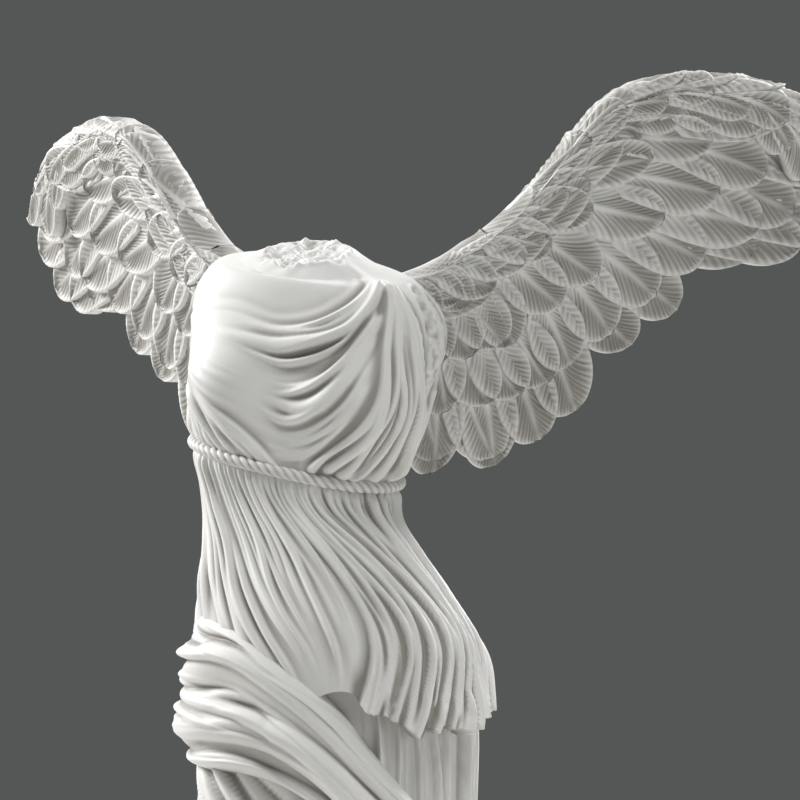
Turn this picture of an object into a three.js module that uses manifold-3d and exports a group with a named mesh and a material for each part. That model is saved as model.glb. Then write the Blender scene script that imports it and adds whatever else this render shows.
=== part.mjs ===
// A headless, armless, winged figure in a gathered dress, cast and carved in white marble,
// standing on a low plinth. Its two wings are pieces of their own, let in behind the shoulders.
// Millimetres, +Z up. The figure faces -Y, and the origin is the middle of the plinth's underside.

import * as THREE from "three";
import { mergeVertices } from "three/addons/utils/BufferGeometryUtils.js";
import Module from "manifold-3d";

// Driving dimensions
const FIGURE_HEIGHT = 490; // hem to neck break
const PLINTH_HEIGHT = 28;
const PLINTH_MARGIN = 12; // plinth beyond the hem's widest fold
const PLINTH_CHAMFER = 2.5;
const ROPE_DIAMETER = 5.2; // the girdle
const KNOT_DIAMETER = 14; // gathered cloth on the shoulder
const JOINT_GAP = 0.4; // mortar joint of a wing or of the plinth
const WING_THICKNESS = 5; // feathered part behind the arm, without its top layers
const FEATHER_STEP = 2.6; // each row of feathers above the row beneath it
const FOLD_DEPTH = 3.4; // gathered folds of the dress
const SKIRT_FOLD_DEPTH = 6;
const HEM_STEP = 4; // overfold above the skirt beneath it
const ROLL_THICKNESS = 13; // how far a roll of the mantle stands out

// Facets
const COLUMNS = 48; // round the body, one ridge on every other column
const ROPE_STEPS = 32;
const ROPE_SIDES = 5;
const MANTLE_STEPS = 32;

const wasm = await Module();
wasm.setup();

const DEGREE = Math.PI / 180;
const marble = (name) =>
  new THREE.MeshStandardMaterial({ name, color: 0xecebe7, roughness: 0.55, metalness: 0 });

// Smooth values of a table's columns at t. The first column rises.
function along(table, t) {
  const last = table.length - 1;
  const at = Math.min(Math.max(t, table[0][0]), table[last][0]);
  let i = 0;
  while (i < last - 1 && at >= table[i + 1][0]) i += 1;
  const slope = (k, c) => {
    const a = table[Math.max(k - 1, 0)];
    const b = table[Math.min(k + 1, last)];
    return (b[c] - a[c]) / (b[0] - a[0]);
  };
  const [p, q] = [table[i], table[i + 1]];
  const h = q[0] - p[0];
  const s = (at - p[0]) / h;
  return p.slice(1).map((_, k) => {
    const c = k + 1;
    const start = (1 + 2 * s) * (1 - s) ** 2 * p[c] + s * (1 - s) ** 2 * h * slope(i, c);
    return start + s * s * (3 - 2 * s) * q[c] + s * s * (s - 1) * h * slope(i + 1, c);
  });
}

// A fixed share from 0 to 1 for each number k.
function chance(k) {
  const v = Math.sin(k * 12.9898 + 4.1414) * 43758.5453;
  return v - Math.floor(v);
}

function smoothMax(a, b, k) {
  const h = Math.max(k - Math.abs(a - b), 0) / k;
  return Math.max(a, b) + (h * h * k) / 4;
}

// How far a ray from a ring's centre runs to the far side of a circle.
function reach(dx, dy, ox, oy, square) {
  const b = ox * dx + oy * dy;
  const rest = b * b - ox * ox - oy * oy + square;
  return b + Math.sign(rest) * Math.sqrt(Math.abs(rest));
}

// The body, in shares of the figure's height:
// level, z, centre x, centre y, half width, half depth, squareness, tilt and pitch in degrees
const TRUNK = [
  [0, 0, 0.014, 0.01, 0.132, 0.116, 2, 0, 0],
  [0.08, 0.08, 0.018, 0.006, 0.124, 0.108, 2, 0, 0],
  [0.2, 0.2, 0.024, 0.002, 0.118, 0.099, 2, 0, 0],
  [0.34, 0.34, 0.03, -0.002, 0.12, 0.094, 2.1, 0, 0],
  [0.45, 0.45, 0.034, -0.002, 0.127, 0.094, 2.1, 1, 0],
  [0.53, 0.53, 0.033, 0, 0.125, 0.095, 2.1, 2, 0],
  [0.58, 0.58, 0.029, 0, 0.122, 0.094, 2.2, 2, 0],
  [0.63, 0.63, 0.024, -0.001, 0.124, 0.088, 2.2, 0, 1],
  [0.68, 0.68, 0.012, -0.002, 0.11, 0.078, 2.2, -4, 2],
  [0.72, 0.72, 0.002, -0.002, 0.095, 0.07, 2.2, -8, 3],
  [0.76, 0.76, -0.012, 0, 0.087, 0.066, 2.2, -12, 5],
  [0.797, 0.797, -0.016, 0, 0.092, 0.069, 2.2, -14.5, 7],
  [0.84, 0.84, -0.006, 0.001, 0.097, 0.072, 2.3, -13, 8],
  [0.88, 0.88, 0.001, 0.002, 0.101, 0.072, 2.4, -11, 9],
  [0.915, 0.916, 0.002, 0.003, 0.104, 0.068, 2.5, -10, 10],
  [0.945, 0.948, 0.002, 0.004, 0.104, 0.062, 2.4, -9.5, 12],
  [0.968, 0.972, 0, 0.005, 0.09, 0.055, 2.2, -9.5, 14],
  [0.985, 0.979, -0.006, 0.005, 0.062, 0.047, 2, -8, 18],
  [1, 0.986, -0.009, 0.004, 0.041, 0.037, 2, -5, 22],
];

// Breasts, shoulders, belly and seat, as soft swellings: angle, z, height, half widths in degrees and z
const SWELLS = [
  [-44, 0.868, 0.021, 30, 0.044],
  [48, 0.866, 0.021, 30, 0.044],
  [-88, 0.93, 0.012, 26, 0.04],
  [94, 0.925, 0.02, 22, 0.044],
  [12, 0.65, 0.012, 38, 0.06],
  [-158, 0.585, 0.026, 40, 0.06],
  [152, 0.59, 0.026, 40, 0.06],
];

// Legs under the cloth: z, x, y, radius
const FREE_LEG = [
  [0, -0.052, -0.045, 0.034],
  [0.1, -0.048, -0.028, 0.034],
  [0.23, -0.044, -0.06, 0.043],
  [0.335, -0.042, -0.083, 0.046],
  [0.45, -0.036, -0.052, 0.055],
  [0.56, -0.032, -0.018, 0.066],
  [0.66, -0.02, 0, 0.05],
];
const FIRM_LEG = [
  [0, 0.066, 0, 0.036],
  [0.1, 0.068, 0.004, 0.036],
  [0.23, 0.072, 0.004, 0.048],
  [0.335, 0.076, -0.022, 0.048],
  [0.45, 0.08, -0.026, 0.062],
  [0.56, 0.076, -0.01, 0.07],
  [0.66, 0.052, 0, 0.05],
];
const LEG_TOP = 0.64;
const LEG_FADE = 0.08;
const LEG_BLEND = 0.03;

// A point of the body at an angle (0 is the front, 90 the figure's left) and a level, raised in mm.
function body(angle, level, raised) {
  const [z, cx, cy, a, b, n, tilt, pitch] = along(TRUNK, level);
  const dx = Math.sin(angle * DEGREE);
  const dy = -Math.cos(angle * DEGREE);
  let r = (Math.abs(dx / a) ** n + Math.abs(dy / b) ** n) ** (-1 / n);
  for (const [middle, rise, height, wide, tall] of SWELLS) {
    const turn = ((angle - middle + 540) % 360) - 180;
    r += height * Math.exp(-((turn / wide) ** 2) - ((z - rise) / tall) ** 2);
  }
  const under = Math.min(Math.max((LEG_TOP - z) / LEG_FADE, 0), 1);
  for (const leg of [FREE_LEG, FIRM_LEG]) {
    const [lx, ly, radius] = along(leg, z);
    const full = smoothMax(r, reach(dx, dy, lx - cx, ly - cy, radius * radius), LEG_BLEND);
    r += under * (full - r);
  }
  r += raised / FIGURE_HEIGHT;
  const lean = Math.tan(tilt * DEGREE) * r * dx + Math.tan(pitch * DEGREE) * r * dy;
  return new THREE.Vector3(cx + r * dx, cy + r * dy, z + lean).multiplyScalar(FIGURE_HEIGHT);
}

// A closed solid from points and triangles, turned so that its faces point out.
function solid(points, faces) {
  const geometry = new THREE.BufferGeometry();
  geometry.setAttribute("position", new THREE.Float32BufferAttribute(points.flatMap((p) => p.toArray()), 3));
  geometry.setIndex(faces.flat());
  const merged = mergeVertices(geometry, 1e-4);
  const vertProperties = new Float32Array(merged.attributes.position.array);
  const index = merged.index.array;
  let volume = 0;
  const corner = (k) => new THREE.Vector3().fromArray(vertProperties, 3 * index[k]);
  for (let k = 0; k < index.length; k += 3) volume += corner(k).dot(corner(k + 1).cross(corner(k + 2)));
  const triVerts = new Uint32Array(index);
  if (volume < 0) {
    for (let k = 0; k < triVerts.length; k += 3) {
      [triVerts[k], triVerts[k + 1]] = [triVerts[k + 1], triVerts[k]];
    }
  }
  return new wasm.Manifold(new wasm.Mesh({ numProp: 3, vertProperties, triVerts }));
}

// Rings of points joined into a tube, each ring closed on itself, both ends closed by a fan.
function tube(rings) {
  const points = rings.flat();
  const n = rings[0].length;
  const faces = [];
  for (let i = 0; i < rings.length - 1; i += 1) {
    for (let j = 0; j < n; j += 1) {
      const [a, b] = [i * n + j, i * n + ((j + 1) % n)];
      faces.push([a, b, b + n], [a, b + n, a + n]);
    }
  }
  for (const [start, flip] of [[0, true], [(rings.length - 1) * n, false]]) {
    const middle = new THREE.Vector3();
    for (let j = 0; j < n; j += 1) middle.addScaledVector(points[start + j], 1 / n);
    points.push(middle);
    const centre = points.length - 1;
    for (let j = 0; j < n; j += 1) {
      const [a, b] = [start + j, start + ((j + 1) % n)];
      faces.push(flip ? [b, a, centre] : [a, b, centre]);
    }
  }
  return solid(points, faces);
}

// Rings joined into a closed hoop, the last ring to the first.
function hoop(rings) {
  const points = rings.flat();
  const n = rings[0].length;
  const faces = [];
  for (let i = 0; i < rings.length; i += 1) {
    const [here, next] = [i * n, ((i + 1) % rings.length) * n];
    for (let j = 0; j < n; j += 1) {
      const k = (j + 1) % n;
      faces.push([here + j, here + k, next + k], [here + j, next + k, next + j]);
    }
  }
  return solid(points, faces);
}

// A sheet of points, rows by columns, closed by a second sheet behind it.
function slab(front, back) {
  const [rows, columns] = [front.length, front[0].length];
  const points = [...front.flat(), ...back.flat()];
  const behind = rows * columns;
  const faces = [];
  const at = (i, j) => i * columns + j;
  const wall = (a, b) => faces.push([a, b, behind + b], [a, behind + b, behind + a]);
  for (let i = 0; i < rows - 1; i += 1) {
    for (let j = 0; j < columns - 1; j += 1) {
      const [a, b, c, d] = [at(i, j), at(i, j + 1), at(i + 1, j + 1), at(i + 1, j)];
      faces.push([a, c, b], [a, d, c]);
      faces.push([behind + a, behind + b, behind + c], [behind + a, behind + c, behind + d]);
    }
  }
  for (let j = 0; j < columns - 1; j += 1) {
    wall(at(0, j), at(0, j + 1));
    wall(at(rows - 1, j + 1), at(rows - 1, j));
  }
  for (let i = 0; i < rows - 1; i += 1) {
    wall(at(i + 1, 0), at(i, 0));
    wall(at(i, columns - 1), at(i + 1, columns - 1));
  }
  return solid(points, faces);
}

// The largest body of a solid, with any pocket sealed inside it filled.
function oneBody(manifold) {
  return manifold.decompose().reduce((a, b) => (a.volume() > b.volume() ? a : b));
}

// How the folds run: level, then the angles of five guide columns round the body
const GUIDES = [0, 0.28, 0.38, 0.58, 1];
const FLOW = [
  [0.5, -79, 24, 50, 97, 272],
  [0.56, -80, 24, 52, 98, 270],
  [0.62, -84, 33, 65, 100, 268],
  [0.68, -88, 39, 71, 104, 266],
  [0.72, -91, 31, 62, 107, 265],
  [0.755, -93, 16, 49, 110, 264],
  [0.797, -96, 6, 34, 106, 264],
  [0.85, -96, 6, 42, 100, 264],
  [0.9, -96, 8, 54, 95, 264],
  [0.945, -96, 14, 64, 90, 264],
  [0.972, -96, 24, 66, 84, 264],
  [1, -96, 4, 40, 100, 264],
];

// The angle of a column at a level.
function columnAngle(column, level) {
  const share = column / COLUMNS;
  const angles = along(FLOW, level);
  let k = 0;
  while (share > GUIDES[k + 1]) k += 1;
  const part = (share - GUIDES[k]) / (GUIDES[k + 1] - GUIDES[k]);
  return angles[k] + part * (angles[k + 1] - angles[k]);
}

const GIRDLE_LEVEL = 0.797;
const NECK_LEVEL = 1.0;
const HEM = [
  [-96, 0.562], [-40, 0.55], [4, 0.572], [24, 0.58], [42, 0.562], [60, 0.548], [82, 0.556], [98, 0.57],
  [120, 0.565], [264, 0.562],
];
const NECKLINE = [
  [-96, 0.912], [-40, 0.93], [-10, 0.924], [18, 0.931], [40, 0.946], [58, 0.966], [70, 0.98], [104, 0.97],
  [140, 0.96], [264, 0.925],
];
const LAP_ROWS = 8;
const SWAG_ROWS = 8;
const CHEST_ROWS = 3;
const HOLLOW = -0.25; // a groove beside a ridge, as a share of the fold's depth

// Share of a fold's depth on a column: ridges on every other one, each of its own height.
function ridge(k, seed) {
  return k % 2 ? HOLLOW : 0.65 + 0.7 * chance(k + seed);
}

// The dress from the overfold's hem to the bare shoulders and the neck break.
function upperBody(raised) {
  const rings = [];
  const ring = (place) => rings.push(Array.from({ length: COLUMNS }, (_, k) => place(k)));
  const angleAt = (k, level) => columnAngle(k, level);
  ring((k) => body(angleAt(k, 0.56), along(HEM, angleAt(k, 0.56))[0] + 0.02, raised - 3 * HEM_STEP));
  for (let row = 0; row <= LAP_ROWS; row += 1) {
    const share = row / LAP_ROWS;
    ring((k) => {
      const hem = along(HEM, angleAt(k, 0.56))[0] - 0.008 * ridge(k, 3);
      const level = hem + (GIRDLE_LEVEL - hem) * share;
      const deep = FOLD_DEPTH * (1 - 0.55 * share);
      return body(angleAt(k, level), level, raised + deep * ridge(k, 5));
    });
  }
  for (let row = 1; row <= SWAG_ROWS; row += 1) {
    const share = row / SWAG_ROWS;
    ring((k) => {
      const top = along(NECKLINE, angleAt(k, 0.94))[0];
      const level = GIRDLE_LEVEL + (top - GIRDLE_LEVEL) * share;
      const angle = angleAt(k, level);
      const swags = Math.min(Math.max((48 - Math.abs(angle + 20)) / 20, 0), 1) * share;
      const deep = FOLD_DEPTH * (swags * ridge(row, 9) + (1 - swags) * 0.6 * ridge(k, 7));
      return body(angle, level, raised + deep);
    });
  }
  for (let row = 1; row <= CHEST_ROWS; row += 1) {
    const share = row / CHEST_ROWS;
    ring((k) => {
      const start = along(NECKLINE, angleAt(k, 0.94))[0];
      const level = start + (NECK_LEVEL - start) * share;
      return body(angleAt(k, level), level, raised);
    });
  }
  for (const share of [0.6, 0.25]) {
    ring((k) => {
      const rim = rings[rings.length - (share === 0.6 ? 1 : 2)][k];
      const middle = body(0, NECK_LEVEL, 0).add(body(180, NECK_LEVEL, 0)).multiplyScalar(0.5);
      const rough = 0.006 * FIGURE_HEIGHT * (chance(k + 31 * share) - 0.7);
      return middle.clone().lerp(rim, share).add(new THREE.Vector3(0, 0, rough));
    });
  }
  return tube(rings);
}

// The skirt beneath the overfold, with upright folds down to the plinth.
const SKIRT_LEVELS = [0, 0.05, 0.13, 0.22, 0.31, 0.4, 0.49, 0.58, 0.64];
const SKIRT_COLUMNS = 36;

function skirt(raised) {
  return tube(SKIRT_LEVELS.map((level) => Array.from({ length: SKIRT_COLUMNS }, (_, k) => {
    const angle = (k / SKIRT_COLUMNS) * 360;
    const deep = SKIRT_FOLD_DEPTH * (1.1 - 0.5 * level) * ridge(k, 13);
    return body(angle, level, raised - HEM_STEP - 0.5 * SKIRT_FOLD_DEPTH + deep);
  })));
}

// The mantle's upper edge round the hips: angle and level
const MANTLE_EDGE = [
  [-96, 0.665], [-60, 0.656], [-30, 0.64], [0, 0.604], [20, 0.57], [32, 0.54], [46, 0.505], [62, 0.47],
  [95, 0.438], [135, 0.45], [180, 0.525], [220, 0.605], [264, 0.665],
];
const MANTLE_WIDTH = 0.135; // from its upper to its lower edge, down the body
const ROLLS = 4;

// The mantle round the hips: a hoop whose outside swells into rolls and whose inside is buried in the body.
function mantle(raised) {
  return hoop(Array.from({ length: MANTLE_STEPS }, (_, k) => {
    const angle = MANTLE_EDGE[0][0] + (k / MANTLE_STEPS) * 360;
    const top = along(MANTLE_EDGE, angle)[0];
    const narrow = 0.8 + 0.2 * Math.cos((angle + 80) * DEGREE);
    const section = Array.from({ length: 2 * ROLLS + 1 }, (_, j) => {
      const level = top - (MANTLE_WIDTH * narrow * j) / (2 * ROLLS);
      const crest = j % 2 ? 1 + 0.22 * Math.sin(1.7 * j + 0.5 * k) : 0.4;
      const inner = j === 0 || j === 2 * ROLLS;
      return body(angle, level, raised + (inner ? -0.1 : crest) * ROLL_THICKNESS);
    });
    const buried = [2 * ROLLS, 0].map((j) => {
      return body(angle, top - (MANTLE_WIDTH * narrow * j) / (2 * ROLLS), -1.5 * ROLL_THICKNESS);
    });
    return [...section, ...buried];
  }));
}

// The mantle's end that falls in front, pleated, between two angles.
const FALL = { top: 0.47, bottom: 0.15, left: -2, right: 44, pleats: 4, rows: 4 };

function fallingEnd(raised) {
  const columns = 2 * FALL.pleats;
  const sheet = (depth) => Array.from({ length: FALL.rows + 1 }, (_, i) => {
    return Array.from({ length: columns + 1 }, (_, j) => {
      const share = i / FALL.rows;
      const spread = 0.75 + 0.25 * share;
      const middle = (FALL.left + FALL.right) / 2;
      const angle = middle + (j / columns - 0.5) * (FALL.right - FALL.left) * spread;
      const step = 0.05 * (j / columns) + (j % 2 ? 0.012 : 0);
      const level = FALL.top + (FALL.bottom + step * share - FALL.top) * share;
      return body(angle, level, raised + depth(j));
    });
  });
  return slab(sheet((j) => (j % 2 ? 1 : 2) * SKIRT_FOLD_DEPTH), sheet(() => -2 * SKIRT_FOLD_DEPTH));
}

// The rope girdle, level with its own ring of the body.
function girdle(raised) {
  const radius = ROPE_DIAMETER / 2 + raised;
  return hoop(Array.from({ length: ROPE_STEPS }, (_, k) => {
    const angle = (k / ROPE_STEPS) * 360;
    const centre = body(angle, GIRDLE_LEVEL, 0.35 * ROPE_DIAMETER);
    const out = new THREE.Vector3(Math.sin(angle * DEGREE), -Math.cos(angle * DEGREE), 0);
    return Array.from({ length: ROPE_SIDES }, (_, j) => {
      const turn = (j / ROPE_SIDES) * 2 * Math.PI;
      const point = centre.clone().addScaledVector(out, Math.cos(turn) * radius);
      return point.add(new THREE.Vector3(0, 0, Math.sin(turn) * radius));
    });
  }));
}

const KNOT_ANGLE = 70;
const KNOT_LEVEL = 0.976;

function shoulderKnot(raised) {
  const geometry = new THREE.SphereGeometry(KNOT_DIAMETER / 2 + raised, 9, 6);
  geometry.rotateX(Math.PI / 2);
  geometry.deleteAttribute("normal");
  geometry.deleteAttribute("uv");
  geometry.scale(1, 0.8, 0.7);
  const merged = mergeVertices(geometry, 1e-3);
  const place = body(KNOT_ANGLE, KNOT_LEVEL, 0);
  const array = merged.attributes.position.array;
  const points = [];
  for (let k = 0; k < array.length; k += 3) points.push(new THREE.Vector3().fromArray(array, k).add(place));
  const faces = [];
  const index = merged.index.array;
  for (let k = 0; k < index.length; k += 3) faces.push([index[k], index[k + 1], index[k + 2]]);
  return solid(points, faces.filter(([a, b, c]) => a !== b && b !== c && c !== a));
}

// The whole draped figure, standing on z = 0, grown all round by a clearance.
function figure(raised) {
  const draped = upperBody(raised).add(skirt(raised)).add(mantle(raised)).add(fallingEnd(raised));
  return oneBody(draped.add(girdle(raised)).add(shoulderKnot(raised)));
}

// Wings, in shares of the figure's height: p runs outwards along the wing, z up, w to the front
const LEADING_EDGE = [
  [-0.02, 0.945], [0.006, 0.96], [0.049, 0.974], [0.081, 0.994], [0.115, 1.028],
  [0.139, 1.068], [0.156, 1.1], [0.176, 1.126], [0.21, 1.142], [0.248, 1.147],
  [0.297, 1.144], [0.35, 1.132], [0.405, 1.107], [0.45, 1.07], [0.49, 1.01],
];
const ARM_RADIUS = [
  [-0.03, 0.034], [0.05, 0.026], [0.15, 0.018], [0.23, 0.014], [0.31, 0.009], [0.4, 0.005],
  [0.56, 0.003],
];
const SWEEP = { root: 31 * DEGREE, tip: 44 * DEGREE, span: 0.54, x: 0.045, y: 0.045 };
const WING_LEAN = 0.3; // how far the wing spreads outwards as it rises past its own level
const WING_LEVEL = 0.98;
const WING_TILT = Math.tan(2.2 * DEGREE); // the shoulders lean, so the left wing stands higher

// side is 1 for the figure's left wing and -1 for its right
function wingPlace(p, z, w, side) {
  const turn = (SWEEP.tip - SWEEP.root) / SWEEP.span;
  const angle = SWEEP.root + turn * p;
  const spread = SWEEP.x + (Math.sin(angle) - Math.sin(SWEEP.root)) / turn;
  const x = spread + w * Math.sin(angle) + WING_LEAN * (z - WING_LEVEL);
  const y = SWEEP.y + (Math.cos(SWEEP.root) - Math.cos(angle)) / turn - w * Math.cos(angle);
  return new THREE.Vector3(side * x, y, z + side * p * WING_TILT).multiplyScalar(FIGURE_HEIGHT);
}

// How much longer a step straight down from the leading edge is than one square to it.
function steepness(p) {
  const step = 0.01;
  return Math.hypot(1, (along(LEADING_EDGE, p + step)[0] - along(LEADING_EDGE, p - step)[0]) / (2 * step));
}

// How far the wing's front stands forward: a round arm along the leading edge, thin behind it.
function wingFront(p, z) {
  const arm = along(ARM_RADIUS, p)[0];
  const inside = Math.max(along(LEADING_EDGE, p)[0] - z, 0) / steepness(p);
  const thin = WING_THICKNESS / 2 / FIGURE_HEIGHT;
  if (inside < arm) return Math.sqrt(arm ** 2 - (arm - inside) ** 2);
  return thin + Math.max(arm - thin, 0) * Math.exp(-(((inside - arm) / (2.2 * arm + 0.004)) ** 2));
}

// Rows of feathers: count, layer, and a table of place along the row, tip p, tip z, direction, length, width
const FEATHER_ROWS = [
  [13, 0, [
    [0, 0.093, 0.786, -74, 0.13, 0.05], [0.25, 0.175, 0.794, -60, 0.14, 0.052],
    [0.42, 0.239, 0.846, -50, 0.14, 0.054],
    [0.54, 0.28, 0.922, -32, 0.14, 0.052], [0.66, 0.36, 0.976, -12, 0.19, 0.05],
    [0.8, 0.43, 1.005, -9, 0.22, 0.05],
    [0.92, 0.455, 1.055, -6, 0.22, 0.05], [1, 0.425, 1.088, -4, 0.2, 0.046],
  ]],
  [9, 1, [
    [0, 0.078, 0.838, -68, 0.09, 0.044], [0.3, 0.168, 0.848, -54, 0.1, 0.048],
    [0.5, 0.231, 0.9, -44, 0.11, 0.052],
    [0.7, 0.301, 0.976, -22, 0.12, 0.056], [0.85, 0.372, 1.02, -10, 0.14, 0.058],
    [1, 0.405, 1.075, -5, 0.15, 0.058],
  ]],
  [7, 2, [
    [0, 0.066, 0.885, -58, 0.075, 0.042], [0.35, 0.145, 0.903, -44, 0.085, 0.048],
    [0.65, 0.218, 0.97, -28, 0.1, 0.054],
    [0.85, 0.297, 1.036, -12, 0.11, 0.056], [1, 0.349, 1.092, -4, 0.11, 0.05],
  ]],
  [5, 3, [
    [0, 0.06, 0.926, -40, 0.06, 0.036], [0.4, 0.125, 0.962, -16, 0.07, 0.04],
    [0.75, 0.187, 1.034, 4, 0.08, 0.042],
    [1, 0.27, 1.098, 2, 0.09, 0.042],
  ]],
];
const FEATHER_OUTLINE = [[0, 0.32], [0.4, 0.47], [0.76, 0.45], [0.95, 0.22]]; // along, half width
const FEATHER_RISE = 0.004; // a tip above its own root

// One feather, as a plate that stands forward from the middle of the wing.
function feather(wingSide, [tipP, tipZ, direction, length, width], layer) {
  const [ux, uz] = [Math.cos(direction * DEGREE), Math.sin(direction * DEGREE)];
  const outline = [];
  for (const [v, half] of FEATHER_OUTLINE) outline.push([v, -half]);
  for (const [v, half] of [...FEATHER_OUTLINE].reverse()) outline.push([v, half]);
  const spot = (v, side, w) => {
    const p = tipP - (1 - v) * length * ux - side * width * uz;
    const z = Math.min(tipZ - (1 - v) * length * uz + side * width * ux, along(LEADING_EDGE, p)[0] - 0.004);
    return [p, z, w];
  };
  const step = FEATHER_STEP / FIGURE_HEIGHT;
  const forward = (v, side) => {
    const [p, z] = spot(v, side, 0);
    return wingFront(p, z) + step * (layer + 0.6) + FEATHER_RISE * v - 0.25 * step * (side ? 1 : 0);
  };
  const back = layer === 0 ? -0.42 * WING_THICKNESS / FIGURE_HEIGHT : 0;
  const points = [];
  for (const [v, side] of outline) points.push(wingPlace(...spot(v, side, forward(v, side)), wingSide));
  for (const [v, side] of outline) points.push(wingPlace(...spot(v, side, back), wingSide));
  const n = outline.length;
  const spine = points.length;
  for (const w of [forward(0.5, 0), back]) points.push(wingPlace(...spot(0.5, 0, w), wingSide));
  const faces = [];
  for (let j = 0; j < n; j += 1) {
    const k = (j + 1) % n;
    faces.push([spine, j, k], [spine + 1, n + k, n + j], [j, n + j, n + k], [j, n + k, k]);
  }
  return solid(points, faces);
}

// The wing's own thickness, from the leading edge down to the feathers' middles.
const WING_COLUMNS = 11;
const WING_CORE = [
  [-0.02, 0.84], [0.1, 0.83], [0.18, 0.85], [0.246, 0.9], [0.3, 0.965], [0.36, 1], [0.43, 1.05],
];

function wingCore(wingSide) {
  const [start, end] = [-0.02, 0.42];
  const rows = [0, 0.25, 0.8, 1.7];
  const sheet = (face) => Array.from({ length: rows.length + 1 }, (_, i) => {
    return Array.from({ length: WING_COLUMNS }, (_, j) => {
      const p = start + (end - start) * (j / (WING_COLUMNS - 1));
      const edge = along(LEADING_EDGE, p)[0];
      const arm = along(ARM_RADIUS, p)[0] * steepness(p);
      const z = i < rows.length ? edge - rows[i] * arm : Math.min(along(WING_CORE, p)[0], edge - 2.2 * arm);
      const front = Math.max(wingFront(p, z), WING_THICKNESS / 4 / FIGURE_HEIGHT);
      const back = -0.5 * WING_THICKNESS / FIGURE_HEIGHT - 0.45 * Math.max(front - 0.005, 0);
      return wingPlace(p, z, face > 0 ? front : back, wingSide);
    });
  });
  return slab(sheet(1), sheet(-1));
}

function wing(wingSide, clearance) {
  let whole = wingCore(wingSide);
  for (const [count, layer, table] of FEATHER_ROWS) {
    for (let k = 0; k < count; k += 1) {
      whole = whole.add(feather(wingSide, along(table, k / (count - 1)), layer));
    }
  }
  return oneBody(whole.subtract(clearance));
}

// The plinth holds the hem's ring with its margin all round, on both sides of the foot's centre.
const FOOT_CENTRE = [0.014, 0.004]; // shares of the figure's height

function plinth() {
  const foot = skirt(0).boundingBox();
  const [width, depth] = [0, 1].map((axis) => {
    const centre = FOOT_CENTRE[axis] * FIGURE_HEIGHT;
    return 2 * Math.max(foot.max[axis] - centre, centre - foot.min[axis]) + 2 * PLINTH_MARGIN;
  });
  const shape = new THREE.Shape();
  const corner = PLINTH_CHAMFER;
  shape.moveTo(-width / 2 + corner, -depth / 2);
  shape.lineTo(width / 2 - corner, -depth / 2);
  shape.lineTo(width / 2, -depth / 2 + corner);
  shape.lineTo(width / 2, depth / 2 - corner);
  shape.lineTo(width / 2 - corner, depth / 2);
  shape.lineTo(-width / 2 + corner, depth / 2);
  shape.lineTo(-width / 2, depth / 2 - corner);
  shape.lineTo(-width / 2, -depth / 2 + corner);
  shape.closePath();
  const geometry = new THREE.ExtrudeGeometry(shape, {
    depth: PLINTH_HEIGHT - 2 * PLINTH_CHAMFER,
    bevelEnabled: true,
    bevelThickness: PLINTH_CHAMFER,
    bevelSize: PLINTH_CHAMFER,
    bevelOffset: -PLINTH_CHAMFER,
    bevelSegments: 1,
  });
  geometry.translate(0, 0, PLINTH_CHAMFER);
  return geometry;
}

// A three.js geometry of a solid.
function geometryOf(manifold) {
  const mesh = manifold.getMesh();
  const geometry = new THREE.BufferGeometry();
  geometry.setAttribute("position", new THREE.Float32BufferAttribute(mesh.vertProperties, mesh.numProp));
  geometry.setIndex([...mesh.triVerts]);
  return geometry;
}

const group = new THREE.Group();
const stand = new THREE.Group();
const [footX, footY] = FOOT_CENTRE.map((share) => share * FIGURE_HEIGHT);
stand.position.set(-footX, -footY, PLINTH_HEIGHT + JOINT_GAP);
group.add(stand);

function place(name, geometry, parent) {
  const mesh = new THREE.Mesh(geometry, marble(name));
  mesh.name = name;
  parent.add(mesh);
}

const clearance = figure(JOINT_GAP);
place("plinth", plinth(), group);
place("figure", geometryOf(figure(0)), stand);
place("wing_left", geometryOf(wing(1, clearance)), stand);
place("wing_right", geometryOf(wing(-1, clearance)), stand);

export default group;
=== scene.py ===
"""A headless, armless, winged figure in a gathered dress, carved in white marble, on a low plinth.

Every carved piece starts as one of Blender's own grids. Its points are then moved on to a form that is
worked out from the figure's height: a body of rings, cloth folds that run along guide lines, and rows of
feathers that overlap. Angles go round the body in degrees, 0 at the front and 90 at the figure's left. Levels
and wing places are shares of the figure's height. Lengths are in millimetres until a mesh is written, in
metres.
"""

from math import cos, pi, radians, sin, tan

import bmesh
import bpy
import numpy as np
from bpy.props import FloatProperty, FloatVectorProperty, PointerProperty
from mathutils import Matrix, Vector


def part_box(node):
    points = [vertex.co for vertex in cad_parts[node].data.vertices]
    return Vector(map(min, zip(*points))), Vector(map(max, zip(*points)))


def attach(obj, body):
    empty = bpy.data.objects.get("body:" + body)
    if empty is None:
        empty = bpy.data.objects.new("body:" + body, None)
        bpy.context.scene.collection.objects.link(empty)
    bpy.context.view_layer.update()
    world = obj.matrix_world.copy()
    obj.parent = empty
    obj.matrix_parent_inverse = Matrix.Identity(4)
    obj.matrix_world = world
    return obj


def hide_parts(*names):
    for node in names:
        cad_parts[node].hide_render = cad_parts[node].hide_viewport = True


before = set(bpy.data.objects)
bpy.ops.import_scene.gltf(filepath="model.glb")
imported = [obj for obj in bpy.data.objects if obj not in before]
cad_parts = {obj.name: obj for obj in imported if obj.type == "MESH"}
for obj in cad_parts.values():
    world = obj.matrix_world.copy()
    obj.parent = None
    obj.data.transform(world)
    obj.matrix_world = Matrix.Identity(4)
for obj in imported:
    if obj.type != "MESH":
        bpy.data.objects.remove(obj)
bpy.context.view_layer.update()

bl_info = {
    "name": "Marble winged figure",
    "version": (1, 0, 0),
    "blender": (4, 5, 0),
    "location": "View3D > Sidebar > Statue",
    "description": "Builds a carved marble figure with wings on a plinth",
    "category": "Add Mesh",
}

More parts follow.
